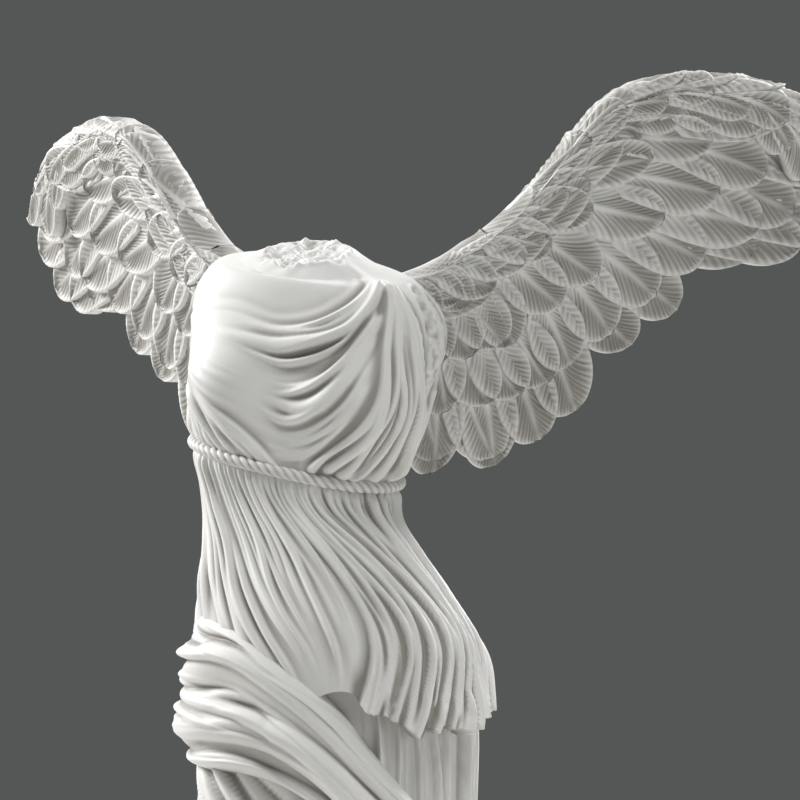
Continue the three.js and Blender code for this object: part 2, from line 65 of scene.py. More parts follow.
MM = 0.001
PLINTH_BOX = [[value / MM for value in corner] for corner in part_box("plinth")]
FIGURE_BOX = [[value / MM for value in corner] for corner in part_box("figure")]
FOOT_CENTRE = (0.014, 0.004)  # middle of the plinth from the figure's own axis, in shares of its height


def linear(hex_colour):
    """A hex sRGB colour as linear red, green and blue."""
    shares = [int(hex_colour[k:k + 2], 16) / 255 for k in (1, 3, 5)]
    return [s / 12.92 if s <= 0.04045 else ((s + 0.055) / 1.055) ** 2.4 for s in shares]


class StatueSizes(bpy.types.PropertyGroup):
    figure_height: FloatProperty(
        name="Figure height", description="From the hem to the neck break, in millimetres", default=490.0)
    fold_depth: FloatProperty(
        name="Fold depth", description="Gathered folds below the girdle, in millimetres", default=3.5)
    swag_depth: FloatProperty(
        name="Swag depth", description="Folds of the bodice, in millimetres", default=4.4)
    skirt_depth: FloatProperty(
        name="Skirt folds", description="Upright folds of the skirt, in millimetres", default=5.5)
    mantle_depth: FloatProperty(
        name="Mantle folds", description="Rolls of the mantle, in millimetres", default=6.5)
    hem_step: FloatProperty(
        name="Hem step", description="Overfold above the skirt, in millimetres", default=4.0)
    rope_diameter: FloatProperty(
        name="Rope diameter", description="The girdle, in millimetres", default=5.2)
    feather_step: FloatProperty(
        name="Feather step", description="Each row of feathers above the next, in millimetres", default=2.4)
    barb_spacing: FloatProperty(
        name="Barb spacing", description="Carved grooves of a feather, in millimetres", default=3.6)
    barb_depth: FloatProperty(
        name="Barb depth", description="Depth of a feather's grooves, in millimetres", default=0.5)


class StatueColours(bpy.types.PropertyGroup):
    marble: FloatVectorProperty(
        name="Marble", description="Honed face of the stone", subtype="COLOR", default=linear("#ECEBE9"))
    # painted shade: the colour that hollows, undersides and feather backs are darkened towards
    painted_shade: FloatVectorProperty(
        name="Recess", description="Shading in the hollows", subtype="COLOR", default=linear("#96928B"))
    floor: FloatVectorProperty(
        name="Floor", description="Pale floor", subtype="COLOR", default=linear("#D9D8D4"))
    backdrop: FloatVectorProperty(
        name="Backdrop", description="Grey behind the figure", subtype="COLOR", default=linear("#545756"))


def sizes():
    return bpy.context.scene.statue_sizes


def colours():
    return bpy.context.scene.statue_colours


# Smooth tables and fixed variation

def along(table, t):
    """Smooth values of a table's columns at t; the table's first column rises."""
    table = np.asarray(table, float)
    x, y = table[:, 0], table[:, 1:]
    slope = np.empty_like(y)
    slope[1:-1] = (y[2:] - y[:-2]) / (x[2:] - x[:-2])[:, None]
    slope[0] = (y[1] - y[0]) / (x[1] - x[0])
    slope[-1] = (y[-1] - y[-2]) / (x[-1] - x[-2])
    t = np.clip(np.asarray(t, float), x[0], x[-1])
    i = np.clip(np.searchsorted(x, t, side="right") - 1, 0, len(x) - 2)
    h = (x[i + 1] - x[i])[..., None]
    s = (t - x[i])[..., None] / h
    start = (1 + 2 * s) * (1 - s) ** 2 * y[i] + s * (1 - s) ** 2 * h * slope[i]
    return start + s * s * (3 - 2 * s) * y[i + 1] + s * s * (s - 1) * h * slope[i + 1]


def chance(k):
    """A fixed share from 0 to 1 for each number k."""
    return np.modf(np.abs(np.sin(np.asarray(k, float) * 12.9898 + 4.1414) * 43758.5453))[0]


def ease(a, b, x):
    """0 below a and 1 above b, smooth between."""
    s = np.clip((x - a) / (b - a), 0, 1)
    return s * s * (3 - 2 * s)


def lumps(points, size, seed=0):
    """Smooth noise from -1 to 1 at points in mm, with lumps of a size in mm."""
    q = np.asarray(points, float) / size + 17.3 * seed
    cell = np.floor(q)
    f = q - cell
    f = f * f * (3 - 2 * f)
    total = 0
    for corner in np.ndindex(2, 2, 2):
        node = cell + corner
        value = chance(node[..., 0] * 1.0 + node[..., 1] * 57.0 + node[..., 2] * 113.0)
        share = np.prod(np.where(np.array(corner) == 1, f, 1 - f), axis=-1)
        total = total + share * value
    return 2 * total - 1


# The body under the cloth. Columns of TRUNK: level, z, centre x, centre y, half width, half depth,
# squareness, and tilt and pitch in degrees
TRUNK = [
    (0.00, 0.000, 0.014, 0.010, 0.132, 0.116, 2.0, 0, 0),
    (0.08, 0.080, 0.018, 0.006, 0.124, 0.108, 2.0, 0, 0),
    (0.20, 0.200, 0.024, 0.002, 0.118, 0.099, 2.0, 0, 0),
    (0.34, 0.340, 0.030, -0.002, 0.120, 0.094, 2.1, 0, 0),
    (0.45, 0.450, 0.034, -0.002, 0.127, 0.094, 2.1, 1, 0),
    (0.53, 0.530, 0.033, 0.000, 0.125, 0.095, 2.1, 2, 0),
    (0.58, 0.580, 0.029, 0.000, 0.122, 0.094, 2.2, 2, 0),
    (0.63, 0.630, 0.024, -0.001, 0.124, 0.088, 2.2, 0, 1),
    (0.68, 0.680, 0.012, -0.002, 0.110, 0.078, 2.2, -4, 2),
    (0.72, 0.720, 0.002, -0.002, 0.095, 0.070, 2.2, -8, 3),
    (0.76, 0.760, -0.012, 0.000, 0.087, 0.066, 2.2, -12, 5),
    (0.797, 0.797, -0.016, 0.000, 0.092, 0.069, 2.2, -14.5, 7),
    (0.84, 0.840, -0.006, 0.001, 0.097, 0.072, 2.3, -13, 8),
    (0.88, 0.880, 0.001, 0.002, 0.101, 0.072, 2.4, -11, 9),
    (0.915, 0.916, 0.002, 0.003, 0.104, 0.068, 2.5, -10, 10),
    (0.945, 0.948, 0.002, 0.004, 0.104, 0.062, 2.4, -9.5, 12),
    (0.968, 0.972, 0.000, 0.005, 0.090, 0.055, 2.2, -9.5, 14),
    (0.985, 0.979, -0.006, 0.005, 0.062, 0.047, 2.0, -8, 18),
    (1.00, 0.986, -0.009, 0.004, 0.041, 0.037, 2.0, -5, 22),
]
# Breasts, shoulders, shoulder knot, belly and seat, as soft swellings: angle, z, height, and half widths in
# degrees and in z
SWELLS = [
    (-44, 0.868, 0.021, 30, 0.044),
    (48, 0.866, 0.021, 30, 0.044),
    (-88, 0.930, 0.012, 26, 0.040),
    (94, 0.925, 0.020, 22, 0.044),
    (70, 0.980, 0.009, 7, 0.010),
    (12, 0.650, 0.012, 38, 0.060),
    (-158, 0.585, 0.026, 40, 0.060),
    (152, 0.590, 0.026, 40, 0.060),
]
# Legs under the cloth: z, x, y, radius
FREE_LEG = [
    (0.00, -0.052, -0.045, 0.034), (0.10, -0.048, -0.028, 0.034), (0.23, -0.044, -0.060, 0.043),
    (0.335, -0.042, -0.083, 0.046), (0.45, -0.036, -0.052, 0.055), (0.56, -0.032, -0.018, 0.066),
    (0.66, -0.020, 0.000, 0.050),
]
FIRM_LEG = [
    (0.00, 0.066, 0.000, 0.036), (0.10, 0.068, 0.004, 0.036), (0.23, 0.072, 0.004, 0.048),
    (0.335, 0.076, -0.022, 0.048), (0.45, 0.080, -0.026, 0.062), (0.56, 0.076, -0.010, 0.070),
    (0.66, 0.052, 0.000, 0.050),
]
LEG_TOP = 0.64
LEG_FADE = 0.08
LEG_BLEND = 0.03
GIRDLE_LEVEL = 0.797


def smooth_max(a, b, k):
    h = np.maximum(k - np.abs(a - b), 0) / k
    return np.maximum(a, b) + h * h * k / 4


def reach(dx, dy, ox, oy, square):
    """How far a ray runs to the far side of a circle, from the circle's offset and its radius squared."""
    b = ox * dx + oy * dy
    rest = b * b - ox * ox - oy * oy + square
    return b + np.sign(rest) * np.sqrt(np.abs(rest))


def body(angle, level):
    """Points of the body in mm, in the figure's own frame, at angles in degrees and levels."""
    angle, level = np.broadcast_arrays(np.asarray(angle, float), np.asarray(level, float))
    z, cx, cy, a, b, n, tilt, pitch = np.moveaxis(along(TRUNK, level), -1, 0)
    dx, dy = np.sin(np.radians(angle)), -np.cos(np.radians(angle))
    r = (np.abs(dx / a) ** n + np.abs(dy / b) ** n) ** (-1 / n)
    for middle, rise, height, wide, tall in SWELLS:
        turn = (angle - middle + 180) % 360 - 180
        r = r + height * np.exp(-((turn / wide) ** 2) - ((z - rise) / tall) ** 2)
    under = np.clip((LEG_TOP - z) / LEG_FADE, 0, 1)
    for leg in (FREE_LEG, FIRM_LEG):
        lx, ly, radius = np.moveaxis(along(leg, z), -1, 0)
        full = smooth_max(r, reach(dx, dy, lx - cx, ly - cy, radius * radius), LEG_BLEND)
        r = r + under * (full - r)
    lean = np.tan(np.radians(tilt)) * r * dx + np.tan(np.radians(pitch)) * r * dy
    return np.stack([cx + r * dx, cy + r * dy, z + lean], -1) * sizes().figure_height


def normals(points):
    """Outward normals of a grid whose columns go once round the body."""
    ahead, behind = np.roll(points, -1, 1), np.roll(points, 1, 1)
    ahead[:, -1], behind[:, 0] = points[:, 1], points[:, -2]
    normal = np.cross(ahead - behind, np.gradient(points, axis=0))
    return normal / (np.linalg.norm(normal, axis=-1, keepdims=True) + 1e-9)


# Folds of cloth: strokes that run side by side between two guide lines of (angle, level). A fold's room is
# its share of the gap between the guide lines.
ROOM_SWAY = 0.35  # how far a fold sways in its room
ROOM_DRIFT = 1.1  # and how far it may drift out of it on its way
LATE_START = 0.35  # how late a fold may start, as a share of how early it may stop
ABRUPT = 0.05  # folds whose soft start is no longer than this all start at once
LOWEST_FOLD = 0.65  # height of the lowest fold of a group, as a share of the group's
FOLD_VARIETY = 0.7  # and how much higher others may be
WIDTH_SWELL = 0.22  # how much a fold's width swells and shrinks on its way
END_WIDTH = 0.6  # width of a fold's ends, as a share of its width
HALF_WIDTHS = (0.8, 8.0)  # least and most in mm
SOFT_CREASE = 0.12  # how softly two folds meet, as a share of their height
FULL_HEIGHT_WIDTH = 2.4  # half width in mm from which a fold has its full height


def through(points, n):
    """n points of a smooth line through control points, evenly spread between them."""
    steps = np.arange(len(points))
    return along(np.column_stack([steps, np.asarray(points, float)]), np.linspace(0, len(points) - 1, n))


def folds(first, last, count, height=1.0, wide=1.1, seed=0, shy=0.25, ends=(0.08, 0.12), steps=30):
    """Lines, heights and half widths of folds that lie between one guide line and another.

    shy is how far before the guides' end a fold may stop, and ends are the lengths of its soft start and end.
    """
    a, b = through(first, steps), through(last, steps)
    gap_to = [body(line[:, 0], line[:, 1]) for line in (a, b)]
    gap = np.linalg.norm(gap_to[1] - gap_to[0], axis=1)
    u = np.linspace(0, 1, steps)
    rooms = 0.5 + chance(seed + 7.3 * np.arange(count))
    bounds = np.concatenate([[0], np.cumsum(rooms)]) / rooms.sum()
    result = []
    for k in range(count):
        share = (bounds[k] + bounds[k + 1]) / 2
        room = bounds[k + 1] - bounds[k]
        waves = u * (0.7 + chance(seed + 4.1 * k)) + chance(seed + 9.7 * k)
        sway = ROOM_SWAY * room * np.sin(2 * pi * waves)
        drift = ROOM_DRIFT * room * (chance(seed + 2.3 * k) - 0.5) * u**2
        line = a + (b - a) * np.clip(share + sway * np.sin(pi * u) + drift, 0, 1)[:, None]
        start = shy * LATE_START * chance(seed + 3.1 * k + 0.7) * (ends[0] > ABRUPT)
        stop = 1 - shy * chance(seed + 5.9 * k + 1.9)
        rise = ease(start - 1e-3, start + ends[0], u) * (1 - ease(stop - ends[1], stop + 1e-3, u))
        heights = height * (LOWEST_FOLD + FOLD_VARIETY * chance(seed + 11.7 * k + 2.2)) * rise
        swell = 1 + WIDTH_SWELL * np.sin(2 * pi * (u * (1 + chance(seed + 6.1 * k)) + chance(seed + 1.7 * k)))
        widths = np.clip(gap * room * 0.5 * wide * swell * (END_WIDTH + (1 - END_WIDTH) * rise), *HALF_WIDTHS)
        result.append((body(line[:, 0], line[:, 1]), heights, widths))
    return result


def press(points, strokes, sharp=1.0):
    """How high the strokes raise each point, in the strokes' own unit of height."""
    flat = points.reshape(-1, 3)
    raised = np.zeros(len(flat))
    for line, heights, widths in strokes:
        margin = widths.max()
        near = np.all((flat > line.min(0) - margin) & (flat < line.max(0) + margin), axis=1)
        rows = np.nonzero(near)[0]
        if not len(rows):
            continue
        q = flat[rows]
        best = np.full(len(q), 1e9)
        height = np.zeros(len(q))
        width = np.ones(len(q))
        for i in range(len(line) - 1):
            step = line[i + 1] - line[i]
            u = np.clip((q - line[i]) @ step / (step @ step + 1e-9), 0, 1)
            distance = ((q - line[i] - u[:, None] * step) ** 2).sum(1)
            closer = distance < best
            best = np.where(closer, distance, best)
            height = np.where(closer, heights[i] + (heights[i + 1] - heights[i]) * u, height)
            width = np.where(closer, widths[i] + (widths[i + 1] - widths[i]) * u, width)
        profile = np.maximum(1 - best / width**2, 0) ** sharp * np.minimum(1, width / FULL_HEIGHT_WIDTH)
        raised[rows] = smooth_max(raised[rows], height * profile, SOFT_CREASE)
    return raised.reshape(points.shape[:-1])


def blurred(field, rows, columns):
    """A field averaged over some rows and columns each way, on a grid whose last column repeats its first."""
    field = field[:, :-1]
    for axis, far, mode in ((0, rows, "edge"), (1, columns, "wrap")):
        pad = [(far, far) if k == axis else (0, 0) for k in (0, 1)]
        total = np.cumsum(np.pad(field, pad, mode=mode), axis=axis)
        total = np.insert(total, 0, 0, axis=axis)
        n = 2 * far + 1
        ahead = np.take(total, range(n, total.shape[axis]), axis=axis)
        field = (ahead - np.take(total, range(0, total.shape[axis] - n), axis=axis)) / n
    return np.concatenate([field, field[:, :1]], axis=1)


def painted_shade_of(raised, rows=5, columns=6, deep=1.6):
    """Painted shade from 0 on open stone to 1 deep between folds, from the heights in mm on a grid."""
    return np.clip((blurred(raised, rows, columns) - raised) / deep, 0, 1)


# Meshes

def grid(rows, columns):
    """A bmesh grid; its vertices run along each row in turn."""
    bm = bmesh.new()
    bmesh.ops.create_grid(bm, x_segments=columns - 1, y_segments=rows - 1, size=1)
    return bm


def finished(bm, name, material, slot, *nodes):
    """A smooth piece from a bmesh in metres, which rides on the root body and stands for its nodes."""
    bmesh.ops.recalc_face_normals(bm, faces=bm.faces)
    mesh = bpy.data.meshes.new(name)
    bm.to_mesh(mesh)
    bm.free()
    mesh.polygons.foreach_set("use_smooth", [True] * len(mesh.polygons))
    mesh.materials.append(material)
    piece = bpy.data.objects.new(name, mesh)
    bpy.context.scene.collection.objects.link(piece)
    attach(piece, "root")
    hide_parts(*nodes)
    return piece


def in_frame(points):
    """Points of the figure's own frame in mm, as metres of the model's frame."""
    height = sizes().figure_height
    shift = np.array([-FOOT_CENTRE[0] * height, -FOOT_CENTRE[1] * height, FIGURE_BOX[0][2]])
    return (np.asarray(points) + shift) * MM


def lay(bm, points, painted_shade):
    """Moves the vertices of a bmesh on to points of the figure's own frame, and keeps the painted shade of
    each, darker where it lies deeper.
    """
    layer = bm.verts.layers.float.new("painted_shade")
    for vert, place, value in zip(bm.verts, in_frame(points).reshape(-1, 3), np.ravel(painted_shade)):
        vert.co = place
        vert[layer] = value


def wrapped(points, painted_shade, close_ends=True):
    """A bmesh tube from a grid of points whose first and last columns meet."""
    rows, columns = points.shape[:2]
    bm = grid(rows, columns)
    lay(bm, points, painted_shade)
    bm.verts.ensure_lookup_table()
    seam = [bm.verts[i * columns + k] for i in range(rows) for k in (0, columns - 1)]
    bmesh.ops.remove_doubles(bm, verts=seam, dist=1e-6)
    if close_ends:
        rims = [edge for edge in bm.edges if edge.is_boundary]
        bmesh.ops.holes_fill(bm, edges=rims, sides=0)
    return bm


def inner_rings(ring, down, shares=(0.7, 0.35)):
    """Rings inside the end of a tube, some way down from it in mm, so that its cap stays within."""
    middle = ring.mean(0)
    return [middle + (ring - middle) * share - (0, 0, down) for share in shares]


FRONT_START, FRONT_END = -118, 122  # angles between which the finest carving lies


def columns_round(front, back):
    """Angles once round the body from the back seam, closer together in front."""
    left = np.linspace(-180, FRONT_START, back // 2 + 1)[:-1]
    middle = np.linspace(FRONT_START, FRONT_END, front)
    right = np.linspace(FRONT_END, 180, back // 2 + 1)[1:]
    return np.concatenate([left, middle, right])


# Levels of the overfold's hem and of the cloth's upper edge, by angle
HEM = [
    (-180, 0.562), (-96, 0.562), (-40, 0.550), (4, 0.572), (24, 0.580), (42, 0.562), (60, 0.548), (82, 0.556),
    (98, 0.570), (120, 0.565), (180, 0.562),
]
NECKLINE = [
    (-180, 0.935), (-120, 0.920), (-96, 0.908), (-60, 0.926), (-40, 0.930), (-10, 0.924), (18, 0.931),
    (40, 0.946), (58, 0.966), (67, 0.982), (74, 0.978), (79, 0.890), (86, 0.866), (100, 0.866), (110, 0.885),
    (120, 0.955), (140, 0.960), (180, 0.935),
]

# Guide lines of (angle, level), then count, height, width, seed, how early folds may stop, soft ends
BODICE = [
    # thick folds that hang from the left shoulder to the right armpit
    ([(70, 0.982), (58, 0.966), (42, 0.950), (20, 0.935), (-8, 0.927), (-40, 0.931), (-84, 0.922)],
     [(68, 0.970), (55, 0.944), (40, 0.918), (20, 0.898), (-4, 0.890), (-32, 0.900), (-62, 0.916)],
     4, 1.15, 1.1, 1, 0.1, (0.02, 0.5)),
    # broad folds between the breasts
    ([(67, 0.966), (53, 0.936), (38, 0.906), (20, 0.884), (-4, 0.876), (-28, 0.886), (-54, 0.906)],
     [(65, 0.952), (50, 0.908), (35, 0.870), (20, 0.848), (0, 0.844), (-24, 0.856), (-44, 0.882)],
     4, 0.95, 1.15, 20, 0.2, (0.06, 0.45)),
    # fine folds that hang below them
    ([(64, 0.944), (48, 0.898), (34, 0.860), (20, 0.840), (2, 0.836), (-22, 0.848), (-46, 0.876)],
     [(54, 0.900), (42, 0.856), (32, 0.826), (20, 0.812), (4, 0.810), (-16, 0.820), (-40, 0.846)],
     7, 0.7, 1.05, 30, 0.3, (0.15, 0.4)),
    # low fine folds over the right breast
    ([(-2, 0.874), (-28, 0.882), (-54, 0.893), (-80, 0.906), (-96, 0.908)],
     [(-12, 0.826), (-36, 0.838), (-60, 0.852), (-84, 0.866), (-98, 0.872)],
     8, 0.38, 1.0, 330, 0.3, (0.3, 0.3)),
    # folds that fall from the left shoulder to the girdle
    ([(70, 0.976), (62, 0.936), (56, 0.900), (46, 0.856), (36, 0.826), (26, 0.797)],
     [(74, 0.976), (78, 0.930), (82, 0.890), (90, 0.850), (97, 0.820), (97, 0.797)],
     11, 1.2, 1.15, 40, 0.06, (0.02, 0.04)),
    # from the girdle up to the right breast
    ([(12, 0.797), (-4, 0.814), (-22, 0.828), (-42, 0.848), (-58, 0.872)],
     [(-100, 0.797), (-98, 0.825), (-95, 0.850), (-92, 0.875), (-88, 0.895)],
     15, 0.75, 1.05, 60, 0.3, (0.03, 0.4)),
    # the back
    ([(104, 0.860), (106, 0.840), (106, 0.820), (102, 0.797)],
     [(126, 0.950), (126, 0.900), (124, 0.850), (122, 0.797)], 5, 0.8, 1.1, 70, 0.1, (0.1, 0.08)),
    ([(127, 0.950), (126, 0.900), (124, 0.850), (122, 0.797)],
     [(250, 0.925), (256, 0.880), (261, 0.840), (262, 0.797)], 17, 0.8, 1.1, 80, 0.2, (0.1, 0.08)),
]
OVERFOLD = [
    # tubes under the girdle on the right side
    ([(-98, 0.797), (-95, 0.750), (-92, 0.700), (-90, 0.650), (-88, 0.600), (-84, 0.545)],
     [(-46, 0.797), (-44, 0.760), (-38, 0.720), (-28, 0.685), (-14, 0.650), (0, 0.610), (8, 0.560)],
     10, 0.95, 1.1, 100, 0.3, (0.02, 0.3)),
    # drawn across the waist and fading over the belly
    ([(-45, 0.797), (-42, 0.765), (-36, 0.730), (-27, 0.695), (-14, 0.660), (0, 0.625), (8, 0.585),
      (10, 0.540)],
     [(6, 0.797), (9, 0.770), (18, 0.740), (28, 0.705), (34, 0.665), (34, 0.620), (28, 0.575), (20, 0.530)],
     11, 0.9, 1.05, 110, 0.45, (0.02, 0.4)),
    # round the left of the belly down to the hem
    ([(8, 0.797), (11, 0.770), (20, 0.740), (31, 0.705), (38, 0.665), (38, 0.620), (32, 0.575), (24, 0.530)],
     [(38, 0.797), (43, 0.770), (53, 0.740), (63, 0.705), (70, 0.665), (71, 0.620), (65, 0.575), (54, 0.530)],
     10, 1.25, 1.15, 130, 0, (0.02, 0.01)),
    # over the left hip
    ([(40, 0.797), (45, 0.770), (55, 0.740), (65, 0.705), (72, 0.665), (73, 0.620), (67, 0.575), (56, 0.530)],
     [(112, 0.797), (110, 0.740), (106, 0.680), (102, 0.620), (99, 0.570), (98, 0.525)],
     13, 1.35, 1.15, 150, 0, (0.02, 0.01)),
    # the back
    ([(112, 0.797), (110, 0.740), (108, 0.680), (106, 0.620), (104, 0.560), (103, 0.535)],
     [(262, 0.797), (264, 0.740), (266, 0.680), (268, 0.620), (270, 0.560), (272, 0.535)],
     20, 0.95, 1.1, 160, 0.12, (0.02, 0.04)),
]
SKIRT_FOLDS = [
    # cloth drawn from the right hip across the thigh
    ([(-84, 0.640), (-56, 0.590), (-24, 0.535), (6, 0.470), (24, 0.400), (30, 0.300), (32, 0.150),
      (34, -0.020)],
     [(-112, 0.560), (-104, 0.470), (-92, 0.390), (-78, 0.310), (-66, 0.230), (-58, 0.140), (-54, 0.060),
      (-52, -0.020)],
     15, 0.95, 1.1, 180, 0.15, (0.05, 0.03)),
    # upright folds round the rest
    ([(36, 0.640), (36, 0.500), (36, 0.300), (36, 0.120), (36, -0.020)],
     [(306, 0.640), (300, 0.500), (304, 0.300), (306, 0.120), (308, -0.020)],
     32, 1.0, 1.15, 200, 0.08, (0.02, 0.02)),
]
# Rough breaks where the arms were: angle, level, half widths in degrees and levels
ARM_BREAKS = [(91, 0.922, 11, 0.050), (-98, 0.930, 13, 0.040)]
BREAK_ROUGH = 1.0  # height in mm of the lumps on them
BREAK_LUMPS = (5.0, 2.2)  # sizes in mm of the coarse and the fine lumps
BREAK_DEPTH = 0.8
CLOTH = 0.9  # the dress above bare skin
FOLDS_FADE = (0.008, 0.016)  # levels above the cloth's edge where folds have begun to fade and have gone
CLOTH_FADE = (-0.002, 0.004)  # and where the cloth does
CAP_DEPTH = 6.0  # how far inside a tube's hidden end its cap lies
HEM_WAVE = 0.016  # how much lower the overfold hangs at its folds, as a share of the height
HEM_MEAN_FOLD = 0.6  # height of the fold at which the hem hangs at its own level
HEM_FLARE = 0.6  # how much deeper its folds are at the hem
FLARE_REACH = 0.09  # levels above the hem where that begins
HEM_LIP = 1.5  # thickness of the hem's edge
# Finer folds laid over a group: how many for each fold, and their heights and widths as shares of the group's
FINE_COUNT, FINE_HEIGHT, FINE_WIDTH = 2.1, 0.42, 0.9
FINE_SEED = 500
FINE_SHY, FINE_ENDS = 0.6, (0.25, 0.35)
FINE_ON_BROAD = 0.55  # how much lower they are on top of a broad fold
# The broken neck: level where it starts inside the shoulders, and the grid's columns and its rows up the side
# and over the top
NECK_START = 0.972
NECK_COLUMNS, NECK_SIDE_ROWS, NECK_TOP_ROWS = 200, 12, 44
NECK_ROUGH = 1.5  # height in mm of the chips
CHIPS = (8.0, 3.1, 1.4)  # sizes in mm of coarse, fine and finest chips
RIM_LUMP = 6.0
RIM_RISE = 1.6
NECK_TUCK = 3  # how far inside the shoulders its first row lies
CINCH = 0.8  # how much lower folds are under the girdle
CINCH_REACH = 0.009
BODICE_COLUMNS, BODICE_ROWS = (440, 80), 161
OVERFOLD_COLUMNS, OVERFOLD_ROWS = (390, 80), 180
SKIRT_COLUMNS, SKIRT_ROWS = (320, 90), 150
SKIRT_TOP = 0.62  # hidden under the overfold
# The knee that draws the skirt smooth: angle, level, half widths in degrees and levels, and how much lower
# the folds are on it
KNEE = (-30, 0.33, 26, 0.11, 0.7)


def relief(points, groups):
    """Folds of a list of groups at points, with finer ones laid between and over them."""
    main, fine = [], []
    for first, last, count, height, wide, seed, shy, ends in groups:
        main += folds(first, last, count, height, wide, seed, shy, ends)
        fine += folds(
            first, last, round(FINE_COUNT * count), FINE_HEIGHT * height, FINE_WIDTH, seed + FINE_SEED,
            FINE_SHY, FINE_ENDS)
    broad = press(points, main)
    return broad + press(points, fine) * (1 - FINE_ON_BROAD * np.minimum(broad, 1))


def cinched(level):
    """How far the girdle lets folds rise, from a little under it to fully away from it."""
    return 1 - CINCH * np.exp(-(((level - GIRDLE_LEVEL) / CINCH_REACH) ** 2))


def breaks(angle, level):
    """1 inside the rough breaks of the arms and 0 outside."""
    inside = np.zeros(np.broadcast(angle, level).shape)
    for middle, height, half_angle, half_level in ARM_BREAKS:
        far = ((angle - middle) / half_angle) ** 2 + ((level - height) / half_level) ** 2
        inside = np.maximum(inside, 1 - ease(0.8, 1.1, far))
    return inside


class STATUE_OT_dress(bpy.types.Operator):
    """Bodice and bare shoulders, overfold with its wavy hem, and neck break"""

    bl_idname = "statue.dress"
    bl_label = "Dress"

    def execute(self, context):
        self.bodice(sizes())
        self.overfold(sizes())
        self.neck_break()
        return {"FINISHED"}

    def bodice(self, size):
        """The chest and shoulders from the girdle up; the girdle hides where it meets the overfold."""
        angle = columns_round(*BODICE_COLUMNS)[None, :]
        level = GIRDLE_LEVEL + (1 - GIRDLE_LEVEL) * np.linspace(0, 1, BODICE_ROWS)[:, None]
        base = body(angle, level)
        edge = along(NECKLINE, angle[0])[:, 0][None, :]
        cloth = 1 - ease(edge + FOLDS_FADE[0], edge + FOLDS_FADE[1], level)
        raised = relief(base, BODICE) * size.swag_depth * cloth * cinched(level)
        raised = blurred(raised, 1, 1) + CLOTH * (1 - ease(edge + CLOTH_FADE[0], edge + CLOTH_FADE[1], level))
        rough = breaks(angle, level)
        coarse, fine = BREAK_LUMPS
        grain = lumps(base, coarse, 1) + 0.6 * lumps(base, fine, 2)
        raised = raised * (1 - rough) + rough * (BREAK_ROUGH * grain - BREAK_DEPTH)
        surface = base + normals(base) * raised[..., None]
        waist, neck = inner_rings(surface[0], -CAP_DEPTH)[::-1], inner_rings(surface[-1], CAP_DEPTH / 3)
        # painted shade between the folds, none on the hidden caps
        edges = np.zeros((2, angle.shape[1]))
        dark = np.concatenate([edges, painted_shade_of(raised, 8, 8, 1.1), edges])
        bm = wrapped(np.concatenate([waist, surface, neck]), dark)
        finished(bm, "bodice", honed_marble(), "figure_marble", "figure")

    def overfold(self, size):
        """The gathered cloth from the girdle down to its hem, which turns in under itself."""
        angle = columns_round(*OVERFOLD_COLUMNS)[None, :]
        hem = along(HEM, angle[0])[:, 0][None, :]
        ridges = blurred(relief(body(angle[0], hem[0]), OVERFOLD)[None, :], 0, 3)
        hem = hem - HEM_WAVE * (ridges - HEM_MEAN_FOLD)
        level = hem + (GIRDLE_LEVEL - hem) * np.linspace(0, 1, OVERFOLD_ROWS)[:, None]
        base = body(angle, level)
        out = normals(base)
        flare = 1 + HEM_FLARE * (1 - ease(hem, hem + FLARE_REACH, level))
        raised = blurred(relief(base, OVERFOLD) * size.fold_depth * cinched(level) * flare, 1, 1) + CLOTH
        surface = base + out * raised[..., None]
        tucked = []
        for depth in (3 * size.hem_step, HEM_LIP):
            tuck = surface[0] - out[0] * (raised[0][:, None] + depth)
            tuck[:, 2] += 0.4 * depth
            tucked.append(tuck)
        # painted shade between the folds, full on the hem's turned-in underside and on the hidden cap
        edges = np.ones((2, angle.shape[1]))
        dark = np.concatenate([edges, painted_shade_of(raised, 8, 8, 1.0), edges])
        points = np.concatenate([tucked, surface, inner_rings(surface[-1], CAP_DEPTH)])
        finished(wrapped(points, dark), "overfold", honed_marble(), "figure_marble", "figure")

    def neck_break(self):
        """The rough stump of the neck, chipped all over and along its rim."""
        angle = np.linspace(-180, 180, NECK_COLUMNS)
        rings = [body(angle, level) for level in np.linspace(NECK_START, 1, NECK_SIDE_ROWS)]
        middle = rings[-1].mean(0)
        rings += [middle + (rings[-1] - middle) * share for share in np.linspace(0.965, 0.01, NECK_TOP_ROWS)]
        rings = np.array(rings)
        out = (rings - middle) / (np.linalg.norm(rings - middle, axis=-1, keepdims=True) + 1e-6)
        coarse, fine, finest = (lumps(rings, lump, 3 + k) for k, lump in enumerate(CHIPS))
        chips = 1 - 2 * np.abs(coarse) + 0.55 * (1 - 2 * np.abs(fine)) + 0.25 * finest
        rows = np.arange(len(rings))[:, None]
        rim = ease(0, NECK_SIDE_ROWS - 2, rows) * (1 - ease(NECK_SIDE_ROWS + 2, 2 * NECK_SIDE_ROWS, rows))
        rings = rings + out * (rim * (0.9 + 1.1 * lumps(rings, RIM_LUMP, 6)))[..., None]
        rings[..., 2] += ease(9, 15, rows) * NECK_ROUGH * chips + RIM_RISE * (rim - 0.5)
        rings[0] -= out[0] * NECK_TUCK
        # painted shade in the hollows of the chips on the break's top
        painted_shade = np.clip(0.25 - 0.5 * chips, 0, 0.8) * ease(9, 13, rows)
        finished(wrapped(rings, painted_shade), "neck_break", honed_marble(), "figure_marble", "figure")


